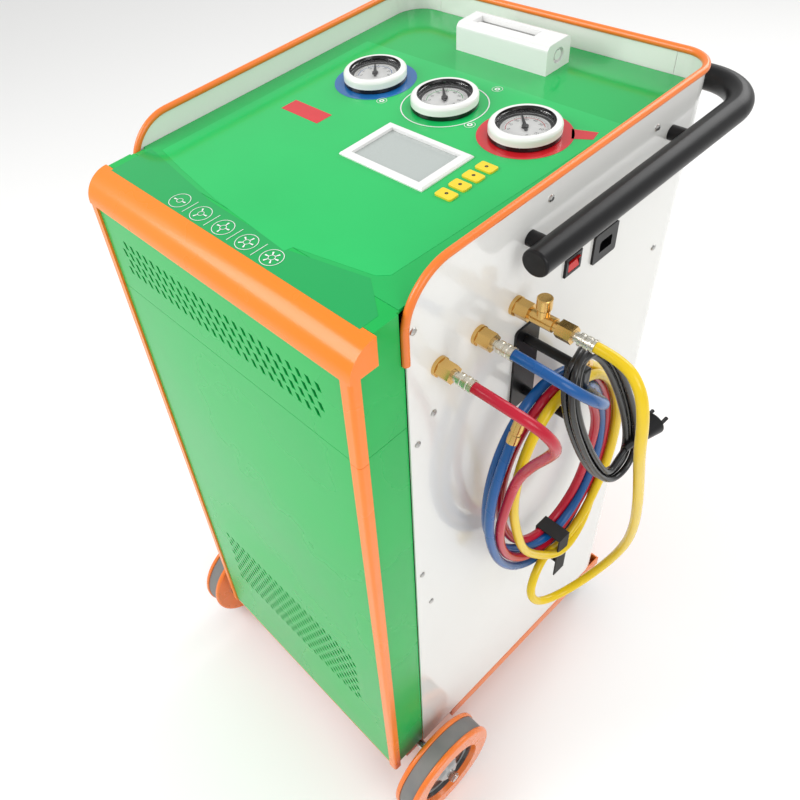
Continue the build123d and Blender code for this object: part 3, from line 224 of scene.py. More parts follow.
def finish(name, colour, gloss=(0.2, 0.3), tone=0.06, patch=7.0, grain=450.0, relief=0.00003, coat=0.0,
           specular=0.5, dust=0.06):
    """Paint, plastic or metal: the colour varies a little, the gloss is uneven and the surface has a grain."""
    material, tree, shader = shader_base(name)
    skin = place_group(tree, uneven_finish, Colour=(*colour, 1), Tone_change=tone, Patch_scale=patch,
                       Smoothest=gloss[0], Roughest=gloss[1], Grain_scale=grain)
    grime = place_group(tree, settled_dust, Amount=dust, Scale=30.0)
    mixed = tree.nodes.new("ShaderNodeMix")
    mixed.data_type = "RGBA"
    mixed.inputs["B"].default_value = (0.42, 0.38, 0.33, 1)
    link(tree,
         (grime.outputs["Mask"], mixed.inputs["Factor"]), (skin.outputs["Colour"], mixed.inputs["A"]),
         (mixed.outputs["Result"], shader.inputs["Base Color"]),
         (skin.outputs["Roughness"], shader.inputs["Roughness"]))
    add_bump(tree, shader, skin.outputs["Height"], relief)
    shader.inputs["Specular IOR Level"].default_value = specular
    shader.inputs["Coat Weight"].default_value = coat
    shader.inputs["Coat Roughness"].default_value = 0.08
    return material


def cover(material, *names):
    """Give CAD nodes a material in all their slots."""
    for name in names:
        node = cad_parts[name]
        if not node.material_slots:
            node.data.materials.append(None)
        for place in node.material_slots:
            place.link = "OBJECT"
            place.material = material


orange_paint = finish("orange_powder_coat", ORANGE, gloss=(0.26, 0.4), grain=900.0, relief=0.00006, dust=0.12)
cover(orange_paint, "base_chassis", "rear_lower_cover")


# Front axle and the fixed fittings below: bright zinc-plated steel, drawn or turned, with the fine
# lines of the drawing bench along the bar.
def drawn_metal_group():
    """Bright drawn or turned metal: fine lines along one direction in gloss and height."""
    group, given, result = new_group(
        "drawn_metal",
        (("Color", "Colour", (0.7, 0.7, 0.7, 1)), ("Vector", "Stretch", (40.0, 900.0, 900.0)),
         ("Float", "Smoothest", 0.15), ("Float", "Roughest", 0.35)),
        (("Color", "Colour"), ("Float", "Roughness"), ("Float", "Height")))
    place = group.nodes.new("ShaderNodeTexCoord")
    stretched = group.nodes.new("ShaderNodeVectorMath")
    stretched.operation = "MULTIPLY"
    lines = group.nodes.new("ShaderNodeTexNoise")
    lines.inputs["Scale"].default_value = 1.0
    lines.inputs["Detail"].default_value = 3
    stains = group.nodes.new("ShaderNodeTexNoise")
    stains.inputs["Scale"].default_value = 35.0
    tone = group.nodes.new("ShaderNodeMapRange")
    tone.inputs["To Min"].default_value = 0.8
    tone.inputs["To Max"].default_value = 1.08
    shade = group.nodes.new("ShaderNodeHueSaturation")
    gloss = group.nodes.new("ShaderNodeMapRange")
    link(group,
         (place.outputs["Object"], stretched.inputs[0]), (given.outputs["Stretch"], stretched.inputs[1]),
         (stretched.outputs[0], lines.inputs["Vector"]), (place.outputs["Object"], stains.inputs["Vector"]),
         (stains.outputs["Fac"], tone.inputs["Value"]), (tone.outputs["Result"], shade.inputs["Value"]),
         (given.outputs["Colour"], shade.inputs["Color"]), (shade.outputs["Color"], result.inputs["Colour"]),
         (lines.outputs["Fac"], gloss.inputs["Value"]), (given.outputs["Smoothest"], gloss.inputs["To Min"]),
         (given.outputs["Roughest"], gloss.inputs["To Max"]),
         (gloss.outputs["Result"], result.inputs["Roughness"]), (lines.outputs["Fac"], result.inputs["Height"]))
    return group


drawn_metal = drawn_metal_group()


def metal(name, colour, stretch=(40.0, 900.0, 900.0), gloss=(0.15, 0.35), relief=0.00002):
    """Bare or plated metal with fine lines along one axis."""
    material, tree, shader = shader_base(name)
    skin = place_group(tree, drawn_metal, Colour=(*colour, 1), Stretch=stretch, Smoothest=gloss[0],
                       Roughest=gloss[1])
    link(tree, (skin.outputs["Colour"], shader.inputs["Base Color"]),
         (skin.outputs["Roughness"], shader.inputs["Roughness"]))
    add_bump(tree, shader, skin.outputs["Height"], relief)
    shader.inputs["Metallic"].default_value = 1.0
    return material


zinc = metal("zinc_plate", (0.62, 0.63, 0.62))
cover(zinc, "front_axle", "caster_plates")


# Side and back panels: bent steel sheet in glossy white powder coat, screwed to the frame's edges with
# pan-head screws.
WHITE = (0.80, 0.80, 0.77)
white_paint = finish("white_powder_coat", WHITE, gloss=(0.12, 0.2), tone=0.03, patch=3.0, grain=1100.0,
                     relief=0.00004, coat=0.5, dust=0.03)
cover(white_paint, "right_side_panel", "left_side_panel", "back_panel")
cover(metal("screw_steel", (0.55, 0.55, 0.53), (300.0, 300.0, 300.0), (0.2, 0.4)), "panel_screws")


# Edge trim: a soft orange plastic bulb pressed over the panels' raw top edges.
cover(finish("orange_soft_trim", ORANGE, gloss=(0.24, 0.34), grain=700.0, coat=0.2), "edge_trim")


# Fascias: two injection-moulded covers, self-coloured green with a high gloss on the front, held in a
# frame of the same plastic in orange with a big roll along the deck's front edge.
GREEN = (0.008, 0.46, 0.085)
green_plastic = finish("green_moulding", GREEN, gloss=(0.2, 0.32), tone=0.12, patch=4.0, grain=350.0,
                       specular=0.25, dust=0.03)
orange_plastic = finish("orange_moulding", (0.95, 0.23, 0.015), gloss=(0.2, 0.32), patch=5.0, coat=0.1,
                        specular=0.35)
cover(green_plastic, "upper_fascia", "lower_fascia")
cover(orange_plastic, "upper_fascia_frame", "lower_fascia_frame")


# Control deck: a green moulded plate with a screen-printed film on it. The film carries a lighter field,
# a darker band with round line icons, and a coloured surround for each gauge.
DECK_Z = 1.170
FILM = 0.00025
FIELD = ((-207, 103), (-150, 92), (-60, 78), (77, 66), (80, 76), (179, 98), (190, 108), (205, 470),
         (-207, 470))
ICON_BAND = ((-222, 34), (222, 34), (222, 58), (178, 92), (82, 70), (-60, 72), (-222, 96))
FILM_WINDOW = ((-8, 236), (111, 313))
ICONS = ((-92, 50), (-50, 50), (-8, 50), (34, 50), (76, 50))
SMALL_ICONS = ((-64, 354), (37, 458), (66, 371))
LABEL = ((-161, 265), (-91, 265), (-91, 291), (-161, 291))
PRINT_Z = DECK_Z + 2 * FILM + 0.0001


def listed(x, y, z):
    """Point in metres from millimetres, with y counted from the front face."""
    return Vector((x / 1000, y / 1000 - FRONT_FACE_Y, z))


def add_piece(name, bm, material, body, smooth=None):
    """Turn a bmesh into a piece at the origin that rides on a body, and free the bmesh."""
    mesh = bpy.data.meshes.new(name)
    bm.to_mesh(mesh)
    bm.free()
    mesh.materials.append(material)
    if smooth is not None:
        mesh.shade_smooth()
        mesh.set_sharp_from_angle(angle=smooth)
    piece = bpy.data.objects.new(name, mesh)
    scene.collection.objects.link(piece)
    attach(piece, body)
    return piece


def add_plate(bm, points, thickness):
    """Flat plate between an outline and its copy above it."""
    face = bm.faces.new([bm.verts.new(p) for p in points])
    raised = bmesh.ops.extrude_face_region(bm, geom=[face])["geom"]
    bmesh.ops.translate(bm, verts=[v for v in raised if isinstance(v, bmesh.types.BMVert)],
                        vec=(0, 0, thickness))
    bmesh.ops.recalc_face_normals(bm, faces=bm.faces[:])


def add_arc(bm, centre, radii, start, end, z, steps=24):
    """Flat ring segment that lies in a level plane and faces up."""
    turn = Matrix.Rotation(start, 4, "Z")
    ends = [bm.verts.new(centre + turn @ Vector((r, 0, 0)) + Vector((0, 0, z))) for r in radii]
    edge = bm.edges.new(ends)
    full = abs(end - start) > tau - 0.001
    bmesh.ops.spin(bm, geom=[*ends, edge], cent=centre, axis=(0, 0, 1), angle=end - start, steps=steps,
                   use_merge=full)


def level_faces_up(bm):
    """Turn every face of a flat drawing so that it faces up."""
    bmesh.ops.reverse_faces(bm, faces=[f for f in bm.faces if f.normal.z < 0])


cover(finish("green_deck", (0.005, 0.43, 0.09), gloss=(0.1, 0.18), tone=0.07, patch=5.0, grain=300.0,
             coat=0.2, specular=0.35, dust=0.02), "control_deck")
print_light = finish("light_green_print", (0.010, 0.50, 0.115), gloss=(0.12, 0.2), tone=0.08, patch=6.0, coat=0.2,
                     specular=0.35, dust=0.02)
print_dark = finish("dark_green_print", (0.004, 0.36, 0.085), gloss=(0.12, 0.2), coat=0.2, specular=0.35, dust=0.02)
print_white = finish("white_print", (0.82, 0.84, 0.82), gloss=(0.2, 0.3), dust=0.02)
print_blue = finish("blue_print", (0.01, 0.14, 0.42), gloss=(0.15, 0.25), coat=0.4, dust=0.02)
print_red = finish("red_print", (0.62, 0.012, 0.02), gloss=(0.15, 0.25), coat=0.4, dust=0.02)

bm = bmesh.new()
add_plate(bm, [listed(x, y, DECK_Z) for x, y in FIELD], FILM)
corner, opposite = listed(*FILM_WINDOW[0], 0), listed(*FILM_WINDOW[1], 0)
for at, direction in ((corner, (1, 0, 0)), (opposite, (1, 0, 0)), (corner, (0, 1, 0)), (opposite, (0, 1, 0))):
    bmesh.ops.bisect_plane(bm, geom=bm.verts[:] + bm.edges[:] + bm.faces[:], plane_co=at, plane_no=direction)
window = [f for f in bm.faces if corner.x < f.calc_center_median().x < opposite.x
          and corner.y < f.calc_center_median().y < opposite.y]
bmesh.ops.delete(bm, geom=window, context="FACES")
add_piece("deck_field_film", bm, print_light, "cabinet")
bm = bmesh.new()
add_plate(bm, [listed(x, y, DECK_Z) for x, y in ICON_BAND], FILM * 0.8)
add_piece("deck_icon_band", bm, print_dark, "cabinet")
bm = bmesh.new()
add_plate(bm, [listed(x, y, DECK_Z) for x, y in LABEL], 2 * FILM)
add_piece("deck_red_label", bm, print_red, "cabinet")

bm = bmesh.new()
for index, (x, y) in enumerate(ICONS):
    middle = listed(x, y, 0)
    add_arc(bm, middle, (0.0128, 0.0136), 0, tau, PRINT_Z, 40)
    for spoke in range(index + 2):
        angle = tau * spoke / (index + 2)
        add_arc(bm, middle, (0.004, 0.0095), angle, angle + 0.25, PRINT_Z, 2)
    add_arc(bm, middle, (0.0035, 0.0042), 0, tau, PRINT_Z, 20)
    if index:
        add_plate(bm, [listed(x - 21 + dx, y + dy, PRINT_Z) for dx, dy in
                       ((-0.4, -12), (0.4, -12), (0.4, 12), (-0.4, 12))], FILM / 4)
for x, y in SMALL_ICONS:
    add_arc(bm, listed(x, y, 0), (0.0062, 0.0068), 0, tau, PRINT_Z, 30)
    add_arc(bm, listed(x, y, 0), (0.0015, 0.0035), 0, tau, PRINT_Z, 16)
level_faces_up(bm)
add_piece("deck_line_icons", bm, print_white, "cabinet")


# Pressure gauges: three black cans let into the deck under white rolled bezels, each with a printed
# white dial, a black pointer on its arbor and a clear cover. The deck is printed round them in colour.
GAUGES = ((-112, 391), (9, 391), (130, 391))
GAUGE_PITCH = 121
WELL_R = 0.0342
DIAL_Z = 1.17805
SCALE_START, SCALE_SWEEP = radians(225), radians(270)


def gauge_material():
    """White bezel and dial on a black can, repeated at the pitch of the gauges; the well's wall above the dial is
    black, partly the can's own dark wall and partly painted shade.
    """
    material, tree, shader = shader_base("gauge_black_and_white")
    place = tree.nodes.new("ShaderNodeTexCoord")
    parts = tree.nodes.new("ShaderNodeSeparateXYZ")
    local = tree.nodes.new("ShaderNodeMath")
    local.operation = "WRAP"
    local.inputs[1].default_value = (GAUGES[0][0] + GAUGE_PITCH / 2) / 1000
    local.inputs[2].default_value = (GAUGES[0][0] - GAUGE_PITCH / 2) / 1000
    flat = tree.nodes.new("ShaderNodeCombineXYZ")
    radius = tree.nodes.new("ShaderNodeVectorMath")
    radius.operation = "DISTANCE"
    radius.inputs[1].default_value = listed(*GAUGES[0], 0)
    # The well's wall above the dial is painted black: partly the can's inner wall, partly painted shade in the recess.
    inside, above_dial, above_deck, shaded_well, white = (tree.nodes.new("ShaderNodeMath") for _ in range(5))
    inside.operation, above_dial.operation, above_deck.operation = "LESS_THAN", "GREATER_THAN", "GREATER_THAN"
    shaded_well.operation, white.operation = "MULTIPLY", "SUBTRACT"
    white.use_clamp = True
    inside.inputs[1].default_value = WELL_R
    above_dial.inputs[1].default_value = DIAL_Z + 0.0003
    above_deck.inputs[1].default_value = DECK_Z + 0.0065
    mixed = tree.nodes.new("ShaderNodeMix")
    mixed.data_type = "RGBA"
    black, pale = (place_group(tree, uneven_finish, Colour=(*colour, 1), Tone_change=0.05, Patch_scale=20.0,
                               Smoothest=0.15, Roughest=0.25) for colour in ((0.006, 0.006, 0.007), (0.82, 0.82, 0.80)))
    link(tree, (place.outputs["Object"], parts.inputs[0]), (parts.outputs["X"], local.inputs[0]),
         (local.outputs[0], flat.inputs["X"]), (parts.outputs["Y"], flat.inputs["Y"]),
         (flat.outputs[0], radius.inputs[0]), (radius.outputs["Value"], inside.inputs[0]),
         (parts.outputs["Z"], above_dial.inputs[0]), (parts.outputs["Z"], above_deck.inputs[0]),
         (inside.outputs[0], shaded_well.inputs[0]), (above_dial.outputs[0], shaded_well.inputs[1]),
         (above_deck.outputs[0], white.inputs[0]), (shaded_well.outputs[0], white.inputs[1]),
         (white.outputs[0], mixed.inputs["Factor"]), (black.outputs["Colour"], mixed.inputs["A"]),
         (pale.outputs["Colour"], mixed.inputs["B"]), (mixed.outputs["Result"], shader.inputs["Base Color"]),
         (black.outputs["Roughness"], shader.inputs["Roughness"]))
    add_bump(tree, shader, black.outputs["Height"], 0.00003)
    return material


def add_text(bm, text, size, turn, at):
    """Flat numeral, laid on the dial."""
    curve = bpy.data.curves.new("numeral", "FONT")
    curve.body, curve.size = text, size
    curve.align_x, curve.align_y = "CENTER", "CENTER"
    writing = bpy.data.objects.new("numeral", curve)
    scene.collection.objects.link(writing)
    bpy.context.view_layer.update()
    mesh = bpy.data.meshes.new_from_object(writing)
    mesh.transform(Matrix.Translation(at) @ Matrix.Rotation(turn, 4, "Z"))
    bm.from_mesh(mesh)
    bpy.data.objects.remove(writing)
    bpy.data.curves.remove(curve)
    bpy.data.meshes.remove(mesh)


black_plastic = finish("black_moulding", (0.005, 0.005, 0.006), gloss=(0.3, 0.42), grain=600.0, specular=0.3, dust=0.02)
cover(gauge_material(), "gauge_cases")
dial_black = finish("dial_print", (0.012, 0.012, 0.012), gloss=(0.4, 0.5), dust=0.0)
for index, (x, y) in enumerate(GAUGES):
    centre = listed(x, y, 0)
    bm = bmesh.new()
    for step in range(41):
        angle = SCALE_START - SCALE_SWEEP * step / 40
        major = step % 5 == 0
        half = 0.012 if major else 0.007
        add_arc(bm, centre, (0.0225 if major else 0.0242, 0.0262), angle - half, angle + half, DIAL_Z, 1)
        if major:
            away = Matrix.Rotation(angle, 4, "Z") @ Vector((0.0185, 0, 0))
            add_text(bm, str(step // 5 * (5 if index == 0 else 10)), 0.0056, 0, centre + away
                     + Vector((0, 0, DIAL_Z)))
    # Black ring round the edge of the dial: partly a printed ring, partly painted shade from the can's wall.
    add_arc(bm, centre, (0.0282, 0.0330), 0, tau, DIAL_Z, 60)
    level_faces_up(bm)
    add_piece(f"dial_scale_{index + 1}", bm, dial_black, "cabinet")
    bm = bmesh.new()
    add_arc(bm, centre, (0.0216, 0.0224), SCALE_START - SCALE_SWEEP * 0.7, SCALE_START, DIAL_Z - 0.00002, 40)
    level_faces_up(bm)
    add_piece(f"dial_band_{index + 1}", bm, (print_blue, print_light, print_red)[index], "cabinet")
    bm = bmesh.new()
    surround = print_blue if index == 0 else (print_white if index == 1 else print_red)
    add_arc(bm, centre, (0.0535 if index == 1 else 0.036, 0.055), 0, tau, DECK_Z + 2 * FILM, 72)
    if index == 2:
        add_plate(bm, [listed(px, py, DECK_Z + FILM) for px, py in ((166, 430), (178, 412), (198, 424), (194, 440))],
                  FILM)
    level_faces_up(bm)
    add_piece(f"gauge_surround_{index + 1}", bm, surround, "cabinet")
cover(dial_black, "gauge_pointer_1", "gauge_pointer_2", "gauge_pointer_3")

clear_cover, tree, shader = shader_base("clear_cover")
place = tree.nodes.new("ShaderNodeTexCoord")
smear = tree.nodes.new("ShaderNodeTexNoise")
smear.inputs["Scale"].default_value = 25.0
smear_range = tree.nodes.new("ShaderNodeMapRange")
smear_range.inputs["To Min"].default_value = 0.0
smear_range.inputs["To Max"].default_value = 0.08
link(tree, (place.outputs["Object"], smear.inputs["Vector"]), (smear.outputs["Fac"], smear_range.inputs["Value"]),
     (smear_range.outputs["Result"], shader.inputs["Roughness"]))
shader.inputs["Base Color"].default_value = (1, 1, 1, 1)
shader.inputs["Transmission Weight"].default_value = 1.0
shader.inputs["IOR"].default_value = 1.2
cover(clear_cover, "gauge_glasses")


# Display: a white surround clipped over a grey liquid crystal panel, and four yellow rubber keys beside
# it, each with a small dark dot printed on its cap.
def lcd_material():
    """Unlit liquid crystal glass: a pale grey field crossed by the fine grid of its cells."""
    material, tree, shader = shader_base("lcd_grey")
    place = tree.nodes.new("ShaderNodeTexCoord")
    cells = tree.nodes.new("ShaderNodeTexBrick")
    cells.offset = 0.0
    cells.inputs["Color1"].default_value = (0.42, 0.46, 0.44, 1)
    cells.inputs["Color2"].default_value = (0.44, 0.48, 0.46, 1)
    cells.inputs["Mortar"].default_value = (0.36, 0.40, 0.38, 1)
    cells.inputs["Scale"].default_value = 1.0
    cells.inputs["Brick Width"].default_value = 0.0011
    cells.inputs["Row Height"].default_value = 0.0011
    cells.inputs["Mortar Size"].default_value = 0.00008
    link(tree, (place.outputs["Object"], cells.inputs["Vector"]),
         (cells.outputs["Color"], shader.inputs["Base Color"]))
    shader.inputs["Roughness"].default_value = 0.12
    shader.inputs["Coat Weight"].default_value = 0.8
    return material


white_plastic = finish("white_moulding", (0.8, 0.8, 0.79), gloss=(0.2, 0.32), tone=0.03, patch=9.0, grain=500.0,
                       coat=0.2, dust=0.02)
cover(white_plastic, "display_bezel")
cover(lcd_material(), "display_screen")
cover(finish("yellow_rubber_key", (0.84, 0.62, 0.02), gloss=(0.35, 0.5), patch=40.0, dust=0.02),
      "key_1", "key_2", "key_3", "key_4")
for index in range(4):
    low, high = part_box(f"key_{index + 1}")
    bm = bmesh.new()
    add_arc(bm, Vector(((low.x + high.x) / 2, (low.y + high.y) / 2, 0)), (0.0004, 0.0021), 0, tau,
            high.z + 0.00006, 24)
    level_faces_up(bm)
    add_piece(f"key_dot_{index + 1}", bm, dial_black, f"key_{index + 1}")


# Receipt printer: a white case screwed to the deck, with a roll of thermal paper behind the window in
# its top. The paper is plain and shows the edges of its layers on the roll's ends.
def paper_material():
    """Wound paper: rings of layers on the ends, plain and matt on the outside."""
    material, tree, shader = shader_base("thermal_paper")
    low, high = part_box("paper_roll")
    place = tree.nodes.new("ShaderNodeTexCoord")
    centred = tree.nodes.new("ShaderNodeMapping")
    centred.inputs["Location"].default_value = (0, -(low.y + high.y) / 2, -(low.z + high.z) / 2)
    rings = tree.nodes.new("ShaderNodeTexWave")
    rings.wave_type = "RINGS"
    rings.rings_direction = "X"
    rings.inputs["Scale"].default_value = 300.0
    rings.inputs["Distortion"].default_value = 0.6
    tint = tree.nodes.new("ShaderNodeMix")
    tint.data_type = "RGBA"
    tint.inputs["A"].default_value = (0.80, 0.79, 0.76, 1)
    tint.inputs["B"].default_value = (0.86, 0.86, 0.84, 1)
    link(tree, (place.outputs["Object"], centred.inputs["Vector"]), (centred.outputs["Vector"], rings.inputs["Vector"]),
         (rings.outputs["Fac"], tint.inputs["Factor"]), (tint.outputs["Result"], shader.inputs["Base Color"]))
    shader.inputs["Roughness"].default_value = 0.75
    add_bump(tree, shader, rings.outputs["Fac"], 0.00003)
    return material


cover(white_plastic, "printer_housing")
cover(paper_material(), "paper_roll")


# Push handle: black powder-coated steel tube bent round the back, on four stand-offs with a socket screw
# each, and plugged at both ends.
cover(finish("black_powder_coat", (0.004, 0.004, 0.0045), gloss=(0.3, 0.42), grain=1200.0, relief=0.00005, specular=0.3, dust=0.0),
      "push_handle", "hose_hook")
cover(black_plastic, "handle_fittings")


# Mains switch and inlet: a black snap-in frame with a red translucent rocker, and a black three-pole
# inlet with plated blades.
cover(black_plastic, "switch_bezel", "power_inlet")
cover(finish("red_rocker", (0.66, 0.012, 0.012), gloss=(0.12, 0.2), patch=60.0, coat=0.5, dust=0.02),
      "rocker_switch")


# Service ports: brass union nuts on brass flanges, a tee valve with a hand knob on the third port, and
# the plated ferrules crimped on the hose ends.
BRASS = (0.78, 0.50, 0.17)
brass = metal("turned_brass", BRASS, (1400.0, 60.0, 60.0), (0.16, 0.3))
cover(brass, "service_ports", "valve_body", "valve_knob")
cover(metal("nickel_plate", (0.70, 0.67, 0.58), (1600.0, 60.0, 60.0), (0.18, 0.34), 0.00006), "hose_ferrules")


# Front wheels: orange moulded rims with a grey rubber tread let into them, a black dished middle with a
# grey ring and a hub cap. They turn on the steel axle and are held by a nut.
WHEEL_RINGS = ((0.026, (0.36, 0.37, 0.37)), (0.050, (0.016, 0.016, 0.017)), (0.058, (0.33, 0.34, 0.34)),
               (0.0635, (0.016, 0.016, 0.017)))


def wheel_material(side):
    """Rim in bands of colour by distance from the axle, on the outer half of one wheel."""
    low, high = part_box(f"{side}_wheel_rim")
    material, tree, shader = shader_base(f"{side}_wheel_finish")
    place = tree.nodes.new("ShaderNodeTexCoord")
    centred = tree.nodes.new("ShaderNodeMapping")
    centred.inputs["Location"].default_value = (0, -(low.y + high.y) / 2, -(low.z + high.z) / 2)
    centred.inputs["Scale"].default_value = (0, 1, 1)
    radius = tree.nodes.new("ShaderNodeVectorMath")
    radius.operation = "LENGTH"
    link(tree, (place.outputs["Object"], centred.inputs["Vector"]), (centred.outputs["Vector"], radius.inputs[0]))
    skin = place_group(tree, uneven_finish, Colour=(*ORANGE, 1), Tone_change=0.08, Patch_scale=12.0,
                       Smoothest=0.2, Roughest=0.34)
    colour = skin.outputs["Colour"]
    for limit, band_colour in reversed(WHEEL_RINGS):
        inside = tree.nodes.new("ShaderNodeMath")
        inside.operation = "LESS_THAN"
        inside.inputs[1].default_value = limit
        band = place_group(tree, uneven_finish, Colour=(*band_colour, 1), Tone_change=0.08, Patch_scale=30.0)
        mixed = tree.nodes.new("ShaderNodeMix")
        mixed.data_type = "RGBA"
        link(tree, (radius.outputs["Value"], inside.inputs[0]), (inside.outputs[0], mixed.inputs["Factor"]),
             (colour, mixed.inputs["A"]), (band.outputs["Colour"], mixed.inputs["B"]))
        colour = mixed.outputs["Result"]
    link(tree, (colour, shader.inputs["Base Color"]), (skin.outputs["Roughness"], shader.inputs["Roughness"]))
    add_bump(tree, shader, skin.outputs["Height"], 0.00004)
    shader.inputs["Coat Weight"].default_value = 0.3
    return material


for side in ("right", "left"):
    cover(wheel_material(side), f"{side}_wheel_rim")
cover(finish("grey_tread_rubber", (0.16, 0.165, 0.17), gloss=(0.55, 0.75), tone=0.15, patch=25.0, grain=700.0,
             relief=0.0001, dust=0.4), "right_tyre", "left_tyre")


# Rear casters: pressed steel forks in black paint on zinc plates, with solid black rubber wheels.
black_paint_and_shade = finish("black_caster_paint_and_inner_shade", (0.014, 0.014, 0.015), gloss=(0.3, 0.45), grain=500.0, dust=0.15)
black_rubber = finish("black_wheel_rubber", (0.018, 0.018, 0.019), gloss=(0.45, 0.65), tone=0.2, grain=600.0,
                      relief=0.0001, dust=0.25)
cover(black_paint_and_shade, "right_caster_fork", "left_caster_fork")
cover(black_rubber, "right_caster_wheel", "left_caster_wheel")


# Inside: the recovery plant on its pan and shelf. A blue storage cylinder stands on the scale, and the
# compressor, pump, condenser with its fan and the valve manifold are mounted above it.
cover(metal("galvanised_sheet", (0.55, 0.56, 0.57), (120.0, 120.0, 120.0), (0.3, 0.5)), "scale_platform")
cover(finish("cylinder_blue", (0.03, 0.13, 0.33), gloss=(0.25, 0.4), grain=600.0), "refrigerant_tank")
# The condenser and the inner shelf are black: partly their real black paint, partly painted shade that keeps the view
# through the vents dark.
cover(black_paint_and_shade, "compressor", "vacuum_pump", "condenser_unit", "inner_shelf")
cover(metal("aluminium_block", (0.70, 0.71, 0.72), (30.0, 30.0, 900.0), (0.3, 0.5)), "manifold_block")
cover(black_plastic, "condenser_fan")


# Charging hoses: three glossy rubber hoses in red, blue and yellow, each crimped on its port. They drop
# from the ports and are wound as loose oval turns that hang on the hook, held by one strap below.
HOSE_DIAMETER = 0.0126
COIL_CENTRE = (297, 752)
COIL_HALF = (138, 214)
COIL_LEAN = radians(11)
TURN_STEP = 22.5
ROUND_OUT = 1.012
RED_ROUTE = ((285, 122, 1066), (328, 122, 1066), (360, 134, 1048), (368, 152, 1012), (350, 168, 968),
             (324, 180, 918), (303, 184, 868), (295, 178, 805))
BLUE_ROUTE = ((285, 184, 1066), (327, 184, 1066), (358, 198, 1046), (366, 230, 1012), (350, 264, 974),
              (322, 292, 944), (298, 311, 924))
YELLOW_ROUTE = ((339, 246, 1066), (372, 246, 1066), (396, 241, 1046), (406, 240, 1008), (406, 250, 950),
                (403, 274, 880), (398, 306, 790), (390, 338, 690), (376, 360, 600), (354, 352, 525),
                (330, 312, 478), (314, 262, 482), (306, 244, 520), (300, 262, 556), (294, 296, 566))
# Turns of each hose: angle round the oval from the rear, distance from the panel, distance in from the rim
RED_TURNS = ((176, 289, 19.5), (200, 284.5, 19.5), (270, 284.5, 30), (360, 284.5, 19), (450, 284.5, 20),
             (500, 275, 40), (540, 271.5, 44), (630, 271.5, 44), (690, 277, 44), (720, 284.2, 44), (800, 284.2, 42))
BLUE_TURNS = ((54, 294.5, 30.5), (40, 290, 31), (10, 284.3, 31.5), (-30, 284.3, 32), (-90, 284.3, 43.5),
              (-130, 277.5, 35), (-155, 272, 24), (-180, 271.5, 16), (-270, 271.5, 18), (-360, 271.5, 20),
              (-405, 277, 12), (-450, 284.3, 6.8), (-540, 284.3, 6.8), (-600, 284.3, 7))
YELLOW_TURNS = ((265, 297, 21), (300, 297, 20), (330, 297, 16), (360, 297, 12.5), (420, 297, 12), (450, 297, 15),
                (500, 297, 32), (540, 297, 44), (590, 297, 38), (615, 302, 20), (630, 304.5, 11), (650, 299, 6.5),
                (665, 291, 5), (690, 285, 6), (720, 284.3, 6.5), (778, 284.3, 6.5))


def oval_point(angle, x, inset):
    """Point of the hose coil, in millimetres."""
    wide = (COIL_HALF[0] - inset) * ROUND_OUT * cos(angle)
    tall = (COIL_HALF[1] - inset) * ROUND_OUT * sin(angle)
    return (x, COIL_CENTRE[0] + wide * cos(COIL_LEAN) - tall * sin(COIL_LEAN),
            COIL_CENTRE[1] + wide * sin(COIL_LEAN) + tall * cos(COIL_LEAN))


def turn_points(stations):
    """Points along a hose's turns, evenly stepped between its stations."""
    points = []
    for (a0, x0, in0), (a1, x1, in1) in zip(stations, stations[1:]):
        count = max(1, round(abs(a1 - a0) / TURN_STEP))
        for step in range(count):
            part = step / count
            smooth = part * part * (3 - 2 * part)
            points.append(oval_point(radians(a0 + (a1 - a0) * part), x0 + (x1 - x0) * smooth,
                                     in0 + (in1 - in0) * smooth))
    angle, x, inset = stations[-1]
    return points + [oval_point(radians(angle), x, inset)]


def add_cord(name, points, diameter, material):
    """Round cord along one smooth open spline, from points in millimetres."""
    curve = bpy.data.curves.new(name, "CURVE")
    curve.dimensions = "3D"
    spline = curve.splines.new("NURBS")
    spline.points.add(len(points) - 1)
    for place, (x, y, z) in zip(spline.points, points):
        place.co = (*listed(x, y, z / 1000), 1)
    spline.order_u = 3
    spline.use_endpoint_u = True
    curve.resolution_u = 8
    curve.bevel_depth = diameter / 2
    curve.bevel_resolution = 5
    curve.use_fill_caps = True
    curve.materials.append(material)
    piece = bpy.data.objects.new(name, curve)
    scene.collection.objects.link(piece)
    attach(piece, "cabinet")
    return piece


def cord_length(piece):
    """Length of a cord's own centre line."""
    bare = bpy.data.objects.new("bare", piece.data.copy())
    bare.data.bevel_depth = 0
    mesh = bpy.data.meshes.new_from_object(bare)
    length = sum((mesh.vertices[e.vertices[0]].co - mesh.vertices[e.vertices[1]].co).length for e in mesh.edges)
    bpy.data.curves.remove(bare.data)
    bpy.data.meshes.remove(mesh)
    return length


def turned_piece(name, at, towards, profile, material, body):
    """Piece turned round an axis from (distance, radius) pairs that start and end on the axis."""
    bm = bmesh.new()
    points = [bm.verts.new((radius, 0, distance)) for distance, radius in profile]
    edges = [bm.edges.new(pair) for pair in zip(points, points[1:])]
    bmesh.ops.spin(bm, geom=points + edges, cent=(0, 0, 0), axis=(0, 0, 1), angle=tau, steps=32, use_merge=True)
    bmesh.ops.remove_doubles(bm, verts=bm.verts, dist=0.00001)
    bmesh.ops.recalc_face_normals(bm, faces=bm.faces[:])
    turn = (Vector(towards) - Vector(at)).to_track_quat("Z", "Y").to_matrix().to_4x4()
    bmesh.ops.transform(bm, matrix=Matrix.Translation(at) @ turn, verts=bm.verts)
    return add_piece(name, bm, material, body, smooth=radians(30))


